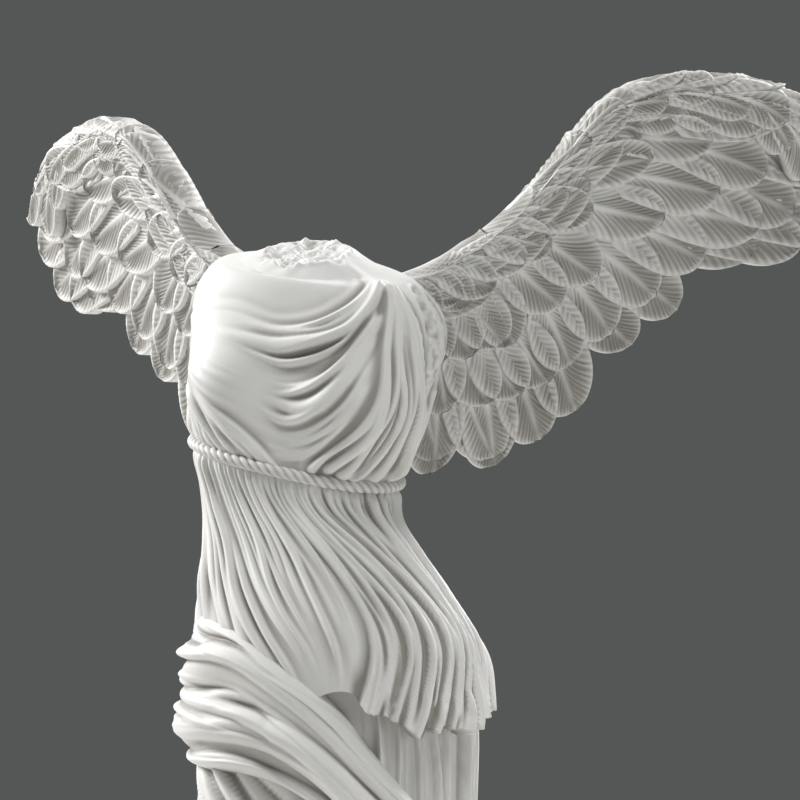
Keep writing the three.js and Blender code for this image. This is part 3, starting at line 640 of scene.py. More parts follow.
class STATUE_OT_skirt(bpy.types.Operator):
    """Upright folds from beneath the overfold down to the plinth, drawn over the legs"""

    bl_idname = "statue.skirt"
    bl_label = "Skirt"

    def execute(self, context):
        size = sizes()
        angle = columns_round(*SKIRT_COLUMNS)[None, :]
        level = np.linspace(0, SKIRT_TOP, SKIRT_ROWS)[:, None]
        base = body(angle, level)
        out = normals(base)
        middle, height, half_angle, half_level, flat = KNEE
        knee = np.exp(-(((angle - middle) / half_angle) ** 2) - ((level - height) / half_level) ** 2)
        raised = relief(base, SKIRT_FOLDS) * size.skirt_depth * (1 - flat * knee)
        sunk = raised - size.hem_step - 0.5 * size.skirt_depth
        surface = base + out * sunk[..., None]
        surface[..., 2] = np.maximum(surface[..., 2], 0)
        # painted shade between the folds
        bm = wrapped(surface, painted_shade_of(raised, 4, 5, 3.0))
        finished(bm, "skirt", honed_marble(), "figure_marble", "figure")
        return {"FINISHED"}


# The mantle's upper edge round the hips, by angle, and its width down the body
MANTLE_EDGE = [
    (-96, 0.661), (-80, 0.662), (-60, 0.656), (-30, 0.640), (0, 0.604), (20, 0.570), (32, 0.540), (46, 0.505),
    (62, 0.470), (95, 0.438), (135, 0.450), (180, 0.525), (220, 0.605), (246, 0.651), (264, 0.661),
]
MANTLE_WIDTH = 0.135
MANTLE_SEAM = MANTLE_EDGE[0][0]  # angle at which its grid closes
MANTLE_COLUMNS, MANTLE_ROWS = 420, 110
MANTLE_PATH = 90  # points of a fold that runs round it
MANTLE_ROLLS = (6, 7.6, 3)  # count, half width in mm and seed of the broad folds
MANTLE_CREASES = (15, 3.2, 40)  # and of the finer ones
MANTLE_BULGE = 7.5  # how far it stands out between its edges, in mm
MANTLE_SINK = 4.5  # how far its edges sink into the body
MANTLE_TUCK = 14  # and how far they then turn in
# The end that hangs: number of pleats, rows and columns, angle of its middle and its spread in degrees
PLEATS = 5
END_ROWS, END_COLUMNS = 60, 120
END_MIDDLE, END_SPREAD = 21, 46
END_TOP, END_BOTTOM = 0.47, 0.15
END_THICKNESS = 8.0


def mantle_level(angle, share):
    """Level of the mantle at an angle, from 0 at its upper edge to 1 at its lower edge."""
    narrow = 0.80 + 0.20 * np.cos(np.radians(angle + 80))  # widest over the right hip
    return along(MANTLE_EDGE, angle)[..., 0] - MANTLE_WIDTH * narrow * share


def mantle_folds(count, wide, seed):
    """Lines, heights and half widths of folds that run along the mantle and drift across it."""
    result = []
    round_body = np.linspace(MANTLE_SEAM, MANTLE_SEAM + 360, MANTLE_PATH)
    turn = np.radians(round_body)
    for k in range(count):
        start = (k + 0.5) / count
        end = start + 0.5 * (chance(seed + k) - 0.5)
        wave = 0.3 / count * np.sin(turn * (2 + k % 3) + 2.1 * k + seed)
        share = start + (end - start) * np.sin((turn + 1.68) / 2) + wave
        centre = body(round_body, mantle_level(round_body, np.clip(share, 0.03, 0.97)))
        high = 0.6 + 0.4 * chance(seed + 2.7 * k) + 0.25 * np.sin(3 * turn + k + seed)
        thick = wide * (0.7 + 0.6 * chance(seed + 5.1 * k)) * (1 + 0.25 * np.sin(2 * turn + 1.3 * k))
        result.append((centre, high, thick))
    return result


class STATUE_OT_mantle(bpy.types.Operator):
    """The mantle rolled round the hips, and its end that falls in front in pleats"""

    bl_idname = "statue.mantle"
    bl_label = "Mantle"

    def execute(self, context):
        size = sizes()
        angle = np.linspace(MANTLE_SEAM, MANTLE_SEAM + 360, MANTLE_COLUMNS)[None, :]
        across = np.linspace(1, 0, MANTLE_ROWS)[:, None]
        base = body(angle, mantle_level(angle, across))
        out = normals(base)
        broad = press(base, mantle_folds(*MANTLE_ROLLS), 0.9)
        fine = press(base, mantle_folds(*MANTLE_CREASES))
        raised = (broad + 0.5 * fine) * size.mantle_depth
        swell = MANTLE_BULGE * np.sqrt(np.clip(1 - (2 * across - 1) ** 4, 0, 1)) - MANTLE_SINK
        shown = np.minimum(1, 6 * across * (1.02 - across) + 0.25)  # folds are lower at both edges
        surface = base + out * (raised * shown + swell)[..., None]
        inner = [base[k] - out[k] * MANTLE_TUCK for k in (0, -1)]
        points = np.concatenate([inner[0][None], surface, inner[1][None]])
        # painted shade between the rolls, full on the edges that turn in
        dark = painted_shade_of(raised, 6, 6, 1.8)
        edge = np.ones((1, angle.shape[1]))
        bm = wrapped(points, np.concatenate([edge, dark, edge]), close_ends=False)
        finished(bm, "mantle", honed_marble(), "figure_marble", "figure")
        self.falling_end(size)
        return {"FINISHED"}

    def falling_end(self, size):
        """A pleated sheet that hangs from the mantle over the left thigh."""
        down = np.linspace(0, 1, END_ROWS)[:, None]
        side = np.linspace(0, 1, END_COLUMNS)[None, :]
        spread = 0.75 + 0.25 * down
        angle = END_MIDDLE + (side - 0.5) * END_SPREAD * spread
        fold = np.abs(2 * ((PLEATS * side + 0.12 * np.sin(5 * down)) % 1) - 1)
        level = END_TOP + (END_BOTTOM + (0.05 * side + 0.03 * fold) * down - END_TOP) * down
        base = body(angle, level)
        gradient = np.cross(np.gradient(base, axis=1), -np.gradient(base, axis=0))
        out = gradient / np.linalg.norm(gradient, axis=-1, keepdims=True)
        raised = size.skirt_depth * (0.6 + 1.5 * fold * np.minimum(1, 0.5 + down))
        front = base + out * raised[..., None]
        back = base - out * END_THICKNESS
        bm = grid(END_ROWS, END_COLUMNS)
        # painted shade in the hollows of the pleats
        lay(bm, front, 0.8 * (1 - ease(0, 0.5, fold)))
        bm.verts.ensure_lookup_table()
        rim = [edge for edge in bm.edges if edge.is_boundary]
        inward = {vert.index: place for vert, place in zip(bm.verts, in_frame(back).reshape(-1, 3))}
        old = {tuple(np.round(vert.co, 7)): vert.index for vert in bm.verts}
        wall = bmesh.ops.extrude_edge_only(bm, edges=rim)["geom"]
        for vert in wall:
            if isinstance(vert, bmesh.types.BMVert):
                vert.co = inward[old[tuple(np.round(vert.co, 7))]]
        bmesh.ops.holes_fill(bm, edges=[edge for edge in bm.edges if edge.is_boundary], sides=0)
        finished(bm, "mantle_end", honed_marble(), "figure_marble", "figure")


ROPE_TURN = 12.5  # length in mm of one whole turn of the rope's strands
ROPE_COLUMNS, ROPE_SIDES = 480, 25


class STATUE_OT_girdle(bpy.types.Operator):
    """A rope of three twisted strands that is carved round the waist"""

    bl_idname = "statue.girdle"
    bl_label = "Girdle"

    def execute(self, context):
        radius = sizes().rope_diameter / 2
        angle = np.linspace(-180, 180, ROPE_COLUMNS)
        middle = body(angle, GIRDLE_LEVEL)
        out = np.stack([np.sin(np.radians(angle)), -np.cos(np.radians(angle)), 0 * angle], -1)
        middle = middle + out * (0.5 * radius + CLOTH)
        length = np.concatenate([[0], np.cumsum(np.linalg.norm(np.diff(middle, axis=0), axis=1))])
        turns = round(length[-1] / ROPE_TURN)
        twist = 2 * pi * turns * length / length[-1]
        round_ = np.linspace(0, 2 * pi, ROPE_SIDES)[None, :]
        strand = np.abs(np.cos(1.5 * (round_ + twist[:, None])))
        thick = radius * (0.74 + 0.34 * strand**0.6)
        up = np.array([0.0, 0.0, 1.0])
        points = middle[:, None] + thick[..., None] * (
            np.cos(round_)[..., None] * out[:, None] + np.sin(round_)[..., None] * up)
        # painted shade between the strands
        bm = wrapped(points, np.clip(1.0 - strand**0.6, 0, 1), close_ends=False)
        bmesh.ops.remove_doubles(bm, verts=[vert for vert in bm.verts if vert.is_boundary], dist=1e-6)
        finished(bm, "girdle_rope", honed_marble(), "figure_marble", "figure")
        return {"FINISHED"}


# Wings: p runs outwards along the wing, z up and w to its front, in shares of the figure's height
LEADING_EDGE = [
    (-0.02, 0.945), (0.006, 0.960), (0.049, 0.974), (0.081, 0.994), (0.115, 1.028), (0.139, 1.068),
    (0.156, 1.100), (0.176, 1.126), (0.210, 1.142), (0.248, 1.147), (0.297, 1.144), (0.350, 1.132),
    (0.405, 1.107), (0.450, 1.070), (0.490, 1.010),
]
ARM_RADIUS = [(-0.03, 0.034), (0.05, 0.026), (0.12, 0.020), (0.20, 0.0165), (0.40, 0.0150), (0.49, 0.010)]
ARM_LEAST = 0.015  # the arm stands out from the feathered part only where it is thicker than this
# Lower edge of the stone behind the feathers
WING_CORE = [
    (-0.02, 0.84), (0.10, 0.83), (0.18, 0.86), (0.23, 0.92), (0.28, 0.985), (0.36, 1.03), (0.43, 1.06),
]
CORE_RINGS = 70
SWEEP_ROOT = radians(31)
SWEEP_TIP = radians(44)
SWEEP_SPAN = 0.54
WING_TILT = tan(radians(2.2))  # the shoulders lean, so the left wing stands higher
WING_LEAN = 0.30  # how far the wing spreads outwards as it rises past its own level
WING_LEVEL = 0.98
WING_ROOT = (0.045, 0.045)
WING_HALF = 0.005  # half the thickness of the feathered part, as a share of the height

# Rows of feathers: count, layer, and a table of place along the row, tip p, tip z, direction in degrees,
# length and width
FEATHER_ROWS = [
    (13, 0, [
        (0, 0.093, 0.786, -74, 0.13, 0.050), (0.25, 0.175, 0.794, -60, 0.14, 0.052),
        (0.42, 0.239, 0.846, -50, 0.14, 0.054), (0.54, 0.280, 0.922, -32, 0.14, 0.052),
        (0.66, 0.360, 0.976, -12, 0.19, 0.050), (0.80, 0.430, 1.005, -9, 0.22, 0.050),
        (0.92, 0.455, 1.055, -6, 0.22, 0.050), (1, 0.425, 1.098, -4, 0.20, 0.048)]),
    (12, 1, [
        (0, 0.078, 0.838, -68, 0.09, 0.044), (0.3, 0.168, 0.848, -54, 0.10, 0.048),
        (0.5, 0.231, 0.900, -44, 0.11, 0.052), (0.7, 0.301, 0.976, -22, 0.13, 0.056),
        (0.85, 0.372, 1.020, -10, 0.15, 0.058), (1, 0.428, 1.072, -7, 0.17, 0.058)]),
    (11, 2, [
        (0, 0.066, 0.885, -58, 0.085, 0.040), (0.35, 0.145, 0.903, -44, 0.100, 0.046),
        (0.62, 0.218, 0.970, -28, 0.12, 0.052), (0.78, 0.297, 1.036, -12, 0.13, 0.054),
        (0.9, 0.352, 1.072, -8, 0.14, 0.052), (1, 0.408, 1.088, -10, 0.14, 0.050)]),
    (10, 3, [
        (0, 0.060, 0.926, -40, 0.07, 0.034), (0.4, 0.125, 0.962, -16, 0.085, 0.040),
        (0.68, 0.192, 1.030, 0, 0.10, 0.044), (0.85, 0.265, 1.086, 2, 0.11, 0.044),
        (1, 0.350, 1.098, -6, 0.13, 0.046)]),
]
# Small feathers along the arm: count, rise in mm, first and last place along the leading edge, how far inside
# it their tips lie, turn from its own direction in degrees, length and width
ARM_ROWS = [
    (10, 0.4, 0.115, 0.540, 0.042, -14, 0.105, 0.040),
    (11, 1.0, 0.105, 0.560, 0.018, -6, 0.105, 0.033),
    (9, 1.3, 0.130, 0.570, -0.001, 2, 0.120, 0.028),
]
SHOWN = 0.9  # share of a feather that is carved; its root lies under the others
ACROSS = [0.0, 0.07, 0.16, 0.32, 0.52, 0.73, 0.90, 1.0]  # columns from the shaft to the rim
ROWS_PER_BARB = 4
HIDDEN_ROWS = 2
# How far forward a barb runs for each step away from the shaft, and how much less at a whole width from it
BARB_SWEEP = 2.8
BARB_SPREAD = 2.2
BARB_STEPS = 16  # rounds in which the rows settle along the barbs
# Length of a feather's rounded tip in widths, and its most as a share of the length
TIP_ROUND, TIP_MOST = 0.85, 0.55
ROOT_WIDTH = 0.66  # width of a feather's root, as a share of its full width
BARB_UNEVEN = 0.35
FEATHER_BEND = 0.12  # most that a feather bends to one side, as a share of its length
# Carving of a feather in mm: its raised rim and shaft, the hollow of a small and of a large one, its slant
RIM_HEIGHT = 0.35
SHAFT_HEIGHT = 0.95
ARM_HOLLOW, HOLLOW = 0.4, 2.0
SLANT = 0.6
TIP_LIFT = 0.0046  # how far a feather's tip rises from its root, as a share of the height
# Most that a feather strays from its row: tip p, tip z, direction in degrees, length and width
STRAY = np.array([0.003, 0.004, 4.0, 0.006, 0.002])
ODD_LIFT = 0.0005  # every other feather of a row lies this much higher, as a share of the height
BACK_SHADE = 0.3  # painted shade on a feather's back


def steepness(p):
    """Slope of the leading edge, and how much longer a step straight down is than one square to it."""
    slope = (along(LEADING_EDGE, p + 0.01) - along(LEADING_EDGE, p - 0.01))[..., 0] / 0.02
    return slope, np.sqrt(1 + slope**2)


def blade_point(p, z, raised):
    """A point of the feathered part's front, raised by a share of the height: (p, z, w)."""
    steep = steepness(p)[1]
    edge, arm = along(LEADING_EDGE, p)[..., 0], along(ARM_RADIUS, p)[..., 0]
    z = np.minimum(z, edge - 0.3 * arm * steep)
    behind = np.maximum((edge - z) / steep - arm, 0)
    extra = np.maximum(arm - ARM_LEAST, 0) * np.exp(-((behind / (2.2 * arm + 0.004)) ** 2))
    return p, z, WING_HALF / 2 + extra + raised


def arm_point(p, z, raised):
    """A point of the round arm, raised by a share of the height; past the leading edge it wraps back."""
    slope, steep = steepness(p)
    arm = along(ARM_RADIUS, p)[..., 0]
    inside = np.maximum((along(LEADING_EDGE, p)[..., 0] - z) / steep, -0.98 * arm)
    lean = np.clip((arm - np.abs(inside)) / arm, 0, 1)
    side = np.where(inside < 0, -1.0, 1.0) * np.sqrt(1 - lean**2)
    behind = np.maximum(inside - arm, 0)
    low = WING_HALF / 2 + 3.4 * sizes().feather_step / sizes().figure_height
    flat = low + np.maximum(arm - low, 0) * np.exp(-((behind / (1.4 * arm)) ** 2))
    on_arm = np.abs(inside) < arm
    w = np.where(on_arm, (arm + raised) * side, flat + raised)
    outwards = np.where(on_arm, raised * lean + np.minimum(2 * inside, 0), 0) / steep
    return p - slope * outwards, z + outwards, w


def along_arm(place, rise):
    """p and z at a place along the leading edge, by its length, and a rise square to it."""
    p = np.linspace(LEADING_EDGE[0][0], LEADING_EDGE[-1][0], 400)
    z = along(LEADING_EDGE, p)[:, 0]
    length = np.concatenate([[0], np.cumsum(np.hypot(np.diff(p), np.diff(z)))])
    slope, steep = (np.interp(place, length, values) for values in steepness(p))
    return np.interp(place, length, p) - rise * slope / steep, np.interp(place, length, z) + rise / steep


def wing_place(p, z, w, side):
    """Points of a wing in mm of the figure's frame; side is 1 for the figure's left and -1 for its right."""
    turn = (SWEEP_TIP - SWEEP_ROOT) / SWEEP_SPAN
    angle = SWEEP_ROOT + turn * p
    along_x, along_y = (np.sin(angle) - sin(SWEEP_ROOT)) / turn, (cos(SWEEP_ROOT) - np.cos(angle)) / turn
    x = WING_ROOT[0] + along_x + w * np.sin(angle) + WING_LEAN * (z - WING_LEVEL)
    y = WING_ROOT[1] + along_y - w * np.cos(angle)
    return np.stack([side * x, y, z + side * p * WING_TILT], -1) * sizes().figure_height


def feather_template(barbs, two_sided):
    """A bmesh of one feather whose vertices hold (column, row, kind): 0 in front, 1 at the back."""
    rows = HIDDEN_ROWS + ROWS_PER_BARB * barbs + 1
    columns = 2 * len(ACROSS) - 1
    bm = grid(rows, columns)
    for k, vert in enumerate(bm.verts):
        vert.co = (k % columns, k // columns, 0)
    if two_sided:
        copy = bmesh.ops.duplicate(bm, geom=bm.verts[:] + bm.edges[:] + bm.faces[:])["geom"]
        for vert in copy:
            if isinstance(vert, bmesh.types.BMVert):
                vert.co.z = 1
        bmesh.ops.bridge_loops(bm, edges=[edge for edge in bm.edges if edge.is_boundary])
    else:
        wall = bmesh.ops.extrude_edge_only(bm, edges=[edge for edge in bm.edges if edge.is_boundary])["geom"]
        for vert in wall:
            if isinstance(vert, bmesh.types.BMVert):
                vert.co.z = 1
        bmesh.ops.holes_fill(bm, edges=[edge for edge in bm.edges if edge.is_boundary], sides=0)
    mesh = bpy.data.meshes.new("feather_template")
    bm.to_mesh(mesh)
    bm.free()
    return mesh


def feather_points(tip_p, tip_z, direction, length, width, rise, barbs, seed, side, arm, outer):
    """Front points, back points and painted shade of one feather on its grid."""
    size = sizes()
    height = size.figure_height
    u = np.array([-s for s in ACROSS[:0:-1]] + ACROSS)[None, :]
    far = np.abs(u)
    count = ROWS_PER_BARB * barbs + 1
    hidden = np.linspace(0, 1 - SHOWN, HIDDEN_ROWS + 1)[:-1]
    q = np.concatenate([hidden, np.linspace(1 - SHOWN, 1, count)])[:, None]
    barb = np.arange(count) // ROWS_PER_BARB
    uneven = BARB_UNEVEN * (chance(seed + 2.9 * barb) - 0.5) * SHOWN / barbs
    q[HIDDEN_ROWS:-1, 0] += (uneven * np.sin(pi * (np.arange(count) % ROWS_PER_BARB) / ROWS_PER_BARB))[:-1]
    # each row of points follows a barb, from the shaft to the rim
    cap = min(TIP_MOST, TIP_ROUND * width / length)
    away = 0
    for _ in range(BARB_STEPS):
        v = np.minimum(q + away * (BARB_SWEEP - BARB_SPREAD * away / width) / length, 1)
        tip = np.sqrt(np.clip(1 - np.clip((v - 1 + cap) / cap, 0, 1) ** 2.2, 0, 1))
        half = width / 2 * tip * (ROOT_WIDTH + (1 - ROOT_WIDTH) * ease(0, 0.7, v))
        away = 0.5 * away + 0.5 * far * half
    across = u * half
    bend = FEATHER_BEND * length * (chance(seed) - 0.5) * 2 * v**2
    a = radians(direction)
    p = tip_p + (v - 1) * length * cos(a) - (across + bend) * sin(a)
    z = tip_z + (v - 1) * length * sin(a) + (across + bend) * cos(a)
    if arm:
        p, z = along_arm(p, z)
    surface = arm_point if arm else blade_point
    # a hollow with a raised rim and shaft, cut by the grooves between barbs
    phase = np.arange(count) % ROWS_PER_BARB
    deep = 0.6 + 0.8 * chance(seed + 3.7 * barb)
    groove = np.where(phase == 0, 1.0, np.where(phase == 2, 0.0, 0.5)) * deep
    groove = np.concatenate([np.zeros(HIDDEN_ROWS), groove])[:, None]
    full = np.clip(half / (0.3 * width), 0, 1)
    groove = groove * ease(0.05, 0.2, far) * (1 - 0.75 * ease(0.84, 0.97, far)) * full
    hollow = (1 - far**2.5) * ease(0.1, 0.75, v) * full
    shaft = np.exp(-((u / (0.12 - 0.06 * v)) ** 2)) * (1 - ease(0.8, 0.97, v))
    rim = ease(0.78, 0.92, far) * (1 - 0.7 * ease(0.95, 1.0, far))
    dish = (ARM_HOLLOW if arm else HOLLOW) * hollow
    carved = RIM_HEIGHT * rim + SHAFT_HEIGHT * shaft - size.barb_depth * groove - dish
    slant = SLANT * u * full * (2 * chance(seed + 0.4) - 1)
    raised = rise + (carved + slant) / height + TIP_LIFT * np.sin(v * pi / 2)
    front_p, front_z, front_w = surface(p, z, raised)
    front = wing_place(front_p, front_z, front_w, side)
    back_p, back_z, back_w = surface(p, z, 0 * p)
    back_w = 0.6 * back_w if arm else 0 * p - WING_HALF * (0.42 if outer else 0)
    back = wing_place(back_p, back_z, back_w, side)
    # painted shade in the grooves and towards the tip of the hollow, lighter on the shaft
    painted_shade = np.clip(0.6 * groove + 0.8 * hollow * ease(0.3, 0.8, v) - 0.4 * shaft, 0, 1)
    return front, back, painted_shade


def feathers(bm, side):
    """Adds every feather of a wing to a bmesh; returns the points and painted shade of its vertices in order.
    """
    size = sizes()
    places, shades, templates = [], [], {}

    def add(row, barbs, rise, two_sided, seed, arm=False):
        if (barbs, two_sided) not in templates:
            templates[barbs, two_sided] = feather_template(barbs, two_sided)
        mesh = templates[barbs, two_sided]
        mark = np.array([tuple(vert.co) for vert in mesh.vertices]).round().astype(int)
        front, back, painted_shade = feather_points(*row, rise, barbs, seed, side, arm, two_sided)
        at = (mark[:, 1], mark[:, 0])
        behind = mark[:, 2] == 1
        places.append(np.where(behind[:, None], back[at], front[at]))
        shades.append(np.where(behind, BACK_SHADE, painted_shade[at]))
        bm.from_mesh(mesh)

    for count, row_layer, table in FEATHER_ROWS:
        rise = (row_layer + 0.4) * size.feather_step / size.figure_height
        mean = along(table, 0.5)[3] * size.figure_height * SHOWN
        barbs = round(mean / size.barb_spacing)
        for k in range(count):
            row = along(table, k / (count - 1))
            jitter = (chance(31 * row_layer + 1.3 * k) - 0.5) * 2
            row = row + STRAY * jitter
            lift = rise + ODD_LIFT * (k % 2)
            add(tuple(row), barbs, lift, row_layer == 0, 10.0 * row_layer + k)
    for count, rise, first, last, inset, turn, length, width in ARM_ROWS:
        barbs = round(length * SHOWN * size.figure_height / size.barb_spacing)
        for k in range(count):
            place = first + (last - first) * k / (count - 1)
            uneven = 2 * chance(7 * rise + 1.9 * k) - 1
            row = (place, -inset * (1 + 0.1 * uneven), turn + 4 * uneven, length * (1 + 0.08 * uneven), width)
            add(row, barbs, rise / size.figure_height, False, 50.0 * rise + k, True)
    for mesh in templates.values():
        bpy.data.meshes.remove(mesh)
    return np.concatenate(places), np.concatenate(shades)


def wing_core(side):
    """Points of the wing's own body, as rings along it."""
    rings = []
    for p in np.linspace(LEADING_EDGE[0][0], WING_CORE[-1][0], CORE_RINGS):
        edge, arm = along(LEADING_EDGE, p)[0], along(ARM_RADIUS, p)[0] * steepness(p)[1]
        low = min(along(WING_CORE, p)[0], edge - 2.2 * arm)
        turn = np.linspace(0, pi / 2, 10)
        z = np.concatenate([np.linspace(low, edge - arm, 9)[:-1], edge - arm * (1 - np.sin(turn))])
        ps = np.full(len(z), p)
        blade, tube = blade_point(ps, z, 0 * ps), arm_point(ps, z, 0 * ps)
        inside = np.clip((z - edge + 1.8 * arm) / (0.6 * arm), 0, 1)
        w = np.where(z > edge - arm, tube[2], blade[2] + (tube[2] - blade[2]) * inside)
        front = wing_place(ps, z, w, side)
        back = wing_place(ps, z, -0.5 * WING_HALF - 0.45 * np.maximum(w - WING_HALF / 2, 0), side)
        rings.append(np.concatenate([front, back[::-1], front[:1]]))
    return np.array(rings)


class STATUE_OT_wings(bpy.types.Operator):
    """Two wings with rows of feathers whose shafts and barbs are carved, one at each shoulder"""

    bl_idname = "statue.wings"
    bl_label = "Wings"

    def execute(self, context):
        for side, node_name in ((1, "wing_left"), (-1, "wing_right")):
            bm = bmesh.new()
            lay(bm, *feathers(bm, side))
            core = wing_core(side)
            # the wing's own body behind the feathers carries half the full painted shade
            core_bm = wrapped(core, np.full(core.shape[:2], 0.5))
            core_mesh = bpy.data.meshes.new("core")
            core_bm.to_mesh(core_mesh)
            core_bm.free()
            bm.from_mesh(core_mesh)
            bpy.data.meshes.remove(core_mesh)
            finished(bm, f"{node_name}_feathers", honed_marble(), "wing_marble", node_name)
        return {"FINISHED"}


PLINTH_EDGE = 2.2  # how far its edges are rounded, in mm
LONG_EDGE = 20.0  # edges longer than this are divided
PLINTH_CUTS = 6


class STATUE_OT_plinth(bpy.types.Operator):
    """A low block with softened edges"""

    bl_idname = "statue.plinth"
    bl_label = "Plinth"

    def execute(self, context):
        low, high = np.array(PLINTH_BOX)
        bm = bmesh.new()
        bmesh.ops.create_cube(bm, size=1)
        for vert in bm.verts:
            vert.co = Vector(((low + high) / 2 + np.array(vert.co) * (high - low)) * MM)
        bmesh.ops.bevel(
            bm, geom=bm.edges[:], offset=PLINTH_EDGE * MM, segments=4, profile=0.5, affect="EDGES",
            material=-1)
        long_edges = [edge for edge in bm.edges if edge.calc_length() > LONG_EDGE * MM]
        bmesh.ops.subdivide_edges(bm, edges=long_edges, cuts=PLINTH_CUTS, use_grid_fill=True)
        # the painted shade layer, left at 0
        bm.verts.layers.float.new("painted_shade")
        finished(bm, "plinth_block", honed_marble(), "plinth_marble", "plinth")
        return {"FINISHED"}


# Materials

# The pattern in the stone, in mm. The real grain is finer, and this one is drawn coarse enough to show.
CLOUD_SIZE = 45
GRAIN_SIZE = 1.3
PIT_SIZE = 2.4
GRAIN_HEIGHT = 0.12
CLOUD_TONE = 0.22
# how far the painted shade darkens the stone towards its colour
PAINTED_SHADE_TONE = 0.85
PITS_FROM, PITS_TO = 0.68, 0.78  # noise above which a pit begins and is at its deepest


def node(tree, kind, settings=None, **links):
    """Adds a node with its settings and the values or links of its inputs; i0 is the first input."""
    made = tree.nodes.new(kind)
    for key, value in (settings or {}).items():
        setattr(made, key, value)
    for key, value in links.items():
        numbered = key[0] == "i" and key[1:].isdigit()
        socket = made.inputs[int(key[1:]) if numbered else key.replace("_", " ")]
        if isinstance(value, bpy.types.NodeSocket):
            tree.links.new(value, socket)
        else:
            socket.default_value = value
    return made


def honed_marble():
    """Cast and honed white marble: matte and near white, finely pitted, with painted shade darkening its
    hollows and undersides.
    """
    known = bpy.data.materials.get("honed_white_marble")
    if known:
        return known
    material = bpy.data.materials.new("honed_white_marble")
    material.use_nodes = True
    tree = material.node_tree
    shader = tree.nodes["Principled BSDF"]
    colour = colours()
    where = node(tree, "ShaderNodeTexCoord").outputs["Object"]
    # painted shade kept on each piece's vertices
    painted_shade = node(tree, "ShaderNodeAttribute", {"attribute_name": "painted_shade"}).outputs["Fac"]
    cloud = node(
        tree, "ShaderNodeTexNoise", Vector=where, Scale=1 / (CLOUD_SIZE * MM), Detail=4.0, Roughness=0.6)
    tone = node(tree, "ShaderNodeMapRange", Value=cloud.outputs["Fac"], To_Min=0.0, To_Max=CLOUD_TONE)
    # painted shade, added to the stone's cloudy tone, mixes the stone towards the painted shade colour
    painted_shade_amount = node(tree, "ShaderNodeMath", {"operation": "MULTIPLY"}, i0=painted_shade, i1=PAINTED_SHADE_TONE)
    shade = node(
        tree, "ShaderNodeMath", {"operation": "ADD", "use_clamp": True},
        i0=painted_shade_amount.outputs[0], i1=tone.outputs[0])
    mixed = node(
        tree, "ShaderNodeMix", {"data_type": "RGBA"},
        Factor=shade.outputs[0], i6=(*colour.marble, 1), i7=(*colour.painted_shade, 1))
    tree.links.new(mixed.outputs["Result"], shader.inputs["Base Color"])
    shader.inputs["Roughness"].default_value = 0.5
    shader.inputs["IOR"].default_value = 1.49
    shader.inputs["Specular IOR Level"].default_value = 0.35
    # a fine grain, with pits where a second, coarser noise peaks
    grain = node(tree, "ShaderNodeTexNoise", Vector=where, Scale=1 / (GRAIN_SIZE * MM), Detail=2.0)
    pits = node(tree, "ShaderNodeTexNoise", Vector=where, Scale=1 / (PIT_SIZE * MM), Detail=1.0)
    holes = node(
        tree, "ShaderNodeMapRange",
        Value=pits.outputs["Fac"], From_Min=PITS_FROM, From_Max=PITS_TO, To_Min=0.0, To_Max=-1.0)
    height = node(tree, "ShaderNodeMath", {"operation": "ADD"}, i0=grain.outputs["Fac"], i1=holes.outputs[0])
    bump = node(tree, "ShaderNodeBump", Height=height.outputs[0], Strength=0.35, Distance=GRAIN_HEIGHT * MM)
    tree.links.new(bump.outputs["Normal"], shader.inputs["Normal"])
    return material


# Camera, lights and floor

CAMERA_AZIMUTH = 22.0  # degrees from the front towards the figure's left
CAMERA_RISE = -2.5  # degrees
CAMERA_DISTANCE = 2.0  # metres
CAMERA_LENS = 200.0  # millimetres
TARGET_LEVEL = 0.853  # level that it looks at, and how far to the side of the figure
TARGET_ASIDE = 0.08
FLOOR_RADIUS = 1.6  # metres
LIGHT_TARGET = Vector((0, 0, 0.42))  # metres
# Place in metres, width in metres, power in watts
LIGHTS = [
    ((-1.9, 0.0, 1.5), 0.7, 62.0),
    ((0.4, -0.9, 2.5), 0.8, 25.0),
    ((2.0, -0.7, 0.6), 0.8, 6.5),
    ((0.7, 1.5, 1.5), 0.6, 36.0),
]


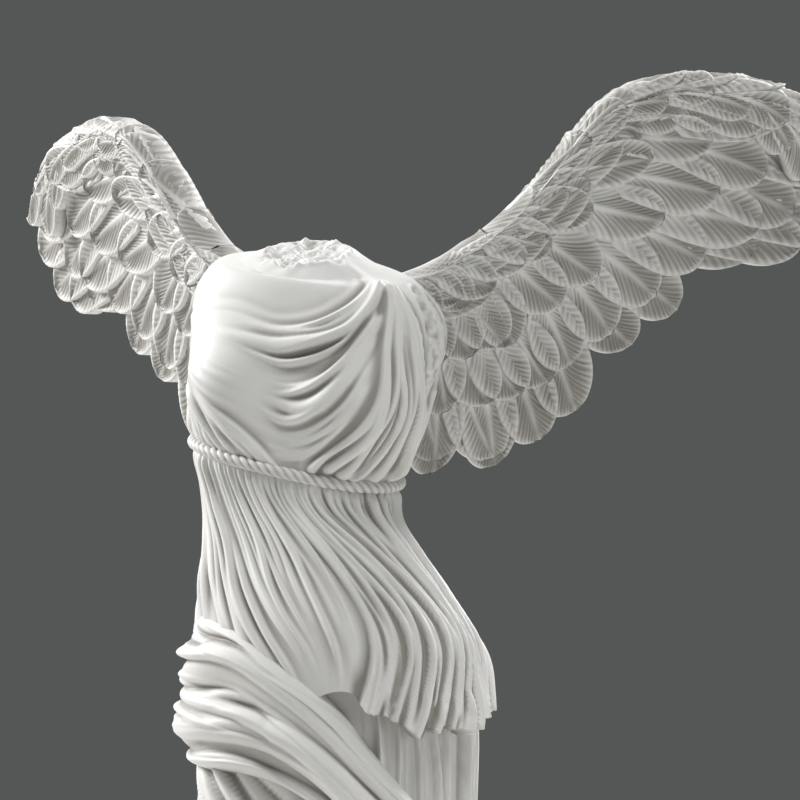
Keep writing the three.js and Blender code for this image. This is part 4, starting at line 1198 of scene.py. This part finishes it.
class STATUE_OT_stage(bpy.types.Operator):
    """Pale floor, soft studio lights and the camera at the photograph's angle"""

    bl_idname = "statue.stage"
    bl_label = "Stage"

    def execute(self, context):
        scene = context.scene
        colour = colours()
        bm = bmesh.new()
        bmesh.ops.create_circle(bm, cap_ends=True, segments=96, radius=FLOOR_RADIUS)
        mesh = bpy.data.meshes.new("floor")
        bm.to_mesh(mesh)
        bm.free()
        paint = bpy.data.materials.new("matte_floor")
        paint.use_nodes = True
        shader = paint.node_tree.nodes["Principled BSDF"]
        shader.inputs["Base Color"].default_value = (*colour.floor, 1)
        shader.inputs["Roughness"].default_value = 0.8
        mesh.materials.append(paint)
        floor = bpy.data.objects.new("floor", mesh)
        scene.collection.objects.link(floor)
        world = bpy.data.worlds.new("studio")
        world.use_nodes = True
        world.node_tree.nodes["Background"].inputs["Color"].default_value = (*colour.backdrop, 1)
        scene.world = world
        scene.view_settings.view_transform = "Standard"
        height = sizes().figure_height
        turn, rise = radians(CAMERA_AZIMUTH), radians(CAMERA_RISE)
        level = FIGURE_BOX[0][2] + TARGET_LEVEL * height
        target = np.array([-FOOT_CENTRE[0] * height, -FOOT_CENTRE[1] * height, level]) * MM
        target = target + np.array([cos(turn), sin(turn), 0]) * TARGET_ASIDE * height * MM
        back = np.array([sin(turn) * cos(rise), -cos(turn) * cos(rise), sin(rise)])
        data = bpy.data.cameras.new("camera")
        data.lens = CAMERA_LENS
        camera = bpy.data.objects.new("camera", data)
        camera.location = Vector(target + back * CAMERA_DISTANCE)
        camera.rotation_euler = Vector(-back).to_track_quat("-Z", "Y").to_euler()
        scene.collection.objects.link(camera)
        scene.camera = camera
        for k, (place, width, power) in enumerate(LIGHTS):
            lamp = bpy.data.lights.new(f"softbox_{k}", "AREA")
            lamp.size = width
            lamp.energy = power
            light = bpy.data.objects.new(f"softbox_{k}", lamp)
            light.location = place
            light.rotation_euler = (LIGHT_TARGET - Vector(place)).to_track_quat("-Z", "Y").to_euler()
            scene.collection.objects.link(light)
        return {"FINISHED"}


class STATUE_PT_panel(bpy.types.Panel):
    """Lists the statue's pieces and sizes"""

    bl_label = "Marble winged figure"
    bl_space_type = "VIEW_3D"
    bl_region_type = "UI"
    bl_category = "Statue"

    def draw(self, context):
        for operator in OPERATORS:
            self.layout.operator(operator.bl_idname)
        for group in (context.scene.statue_sizes, context.scene.statue_colours):
            for name in group.__annotations__:
                self.layout.prop(group, name)


OPERATORS = (
    STATUE_OT_dress, STATUE_OT_skirt, STATUE_OT_mantle, STATUE_OT_girdle, STATUE_OT_wings, STATUE_OT_plinth,
    STATUE_OT_stage)
CLASSES = (StatueSizes, StatueColours, *OPERATORS, STATUE_PT_panel)


def register():
    for cls in CLASSES:
        bpy.utils.register_class(cls)
    bpy.types.Scene.statue_sizes = PointerProperty(type=StatueSizes)
    bpy.types.Scene.statue_colours = PointerProperty(type=StatueColours)


def unregister():
    del bpy.types.Scene.statue_sizes
    del bpy.types.Scene.statue_colours
    for cls in reversed(CLASSES):
        bpy.utils.unregister_class(cls)


def main():
    register()
    bpy.ops.statue.dress()
    bpy.ops.statue.skirt()
    bpy.ops.statue.mantle()
    bpy.ops.statue.girdle()
    bpy.ops.statue.wings()
    bpy.ops.statue.plinth()
    bpy.ops.statue.stage()
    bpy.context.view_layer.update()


if __name__ == "__main__":
    main()
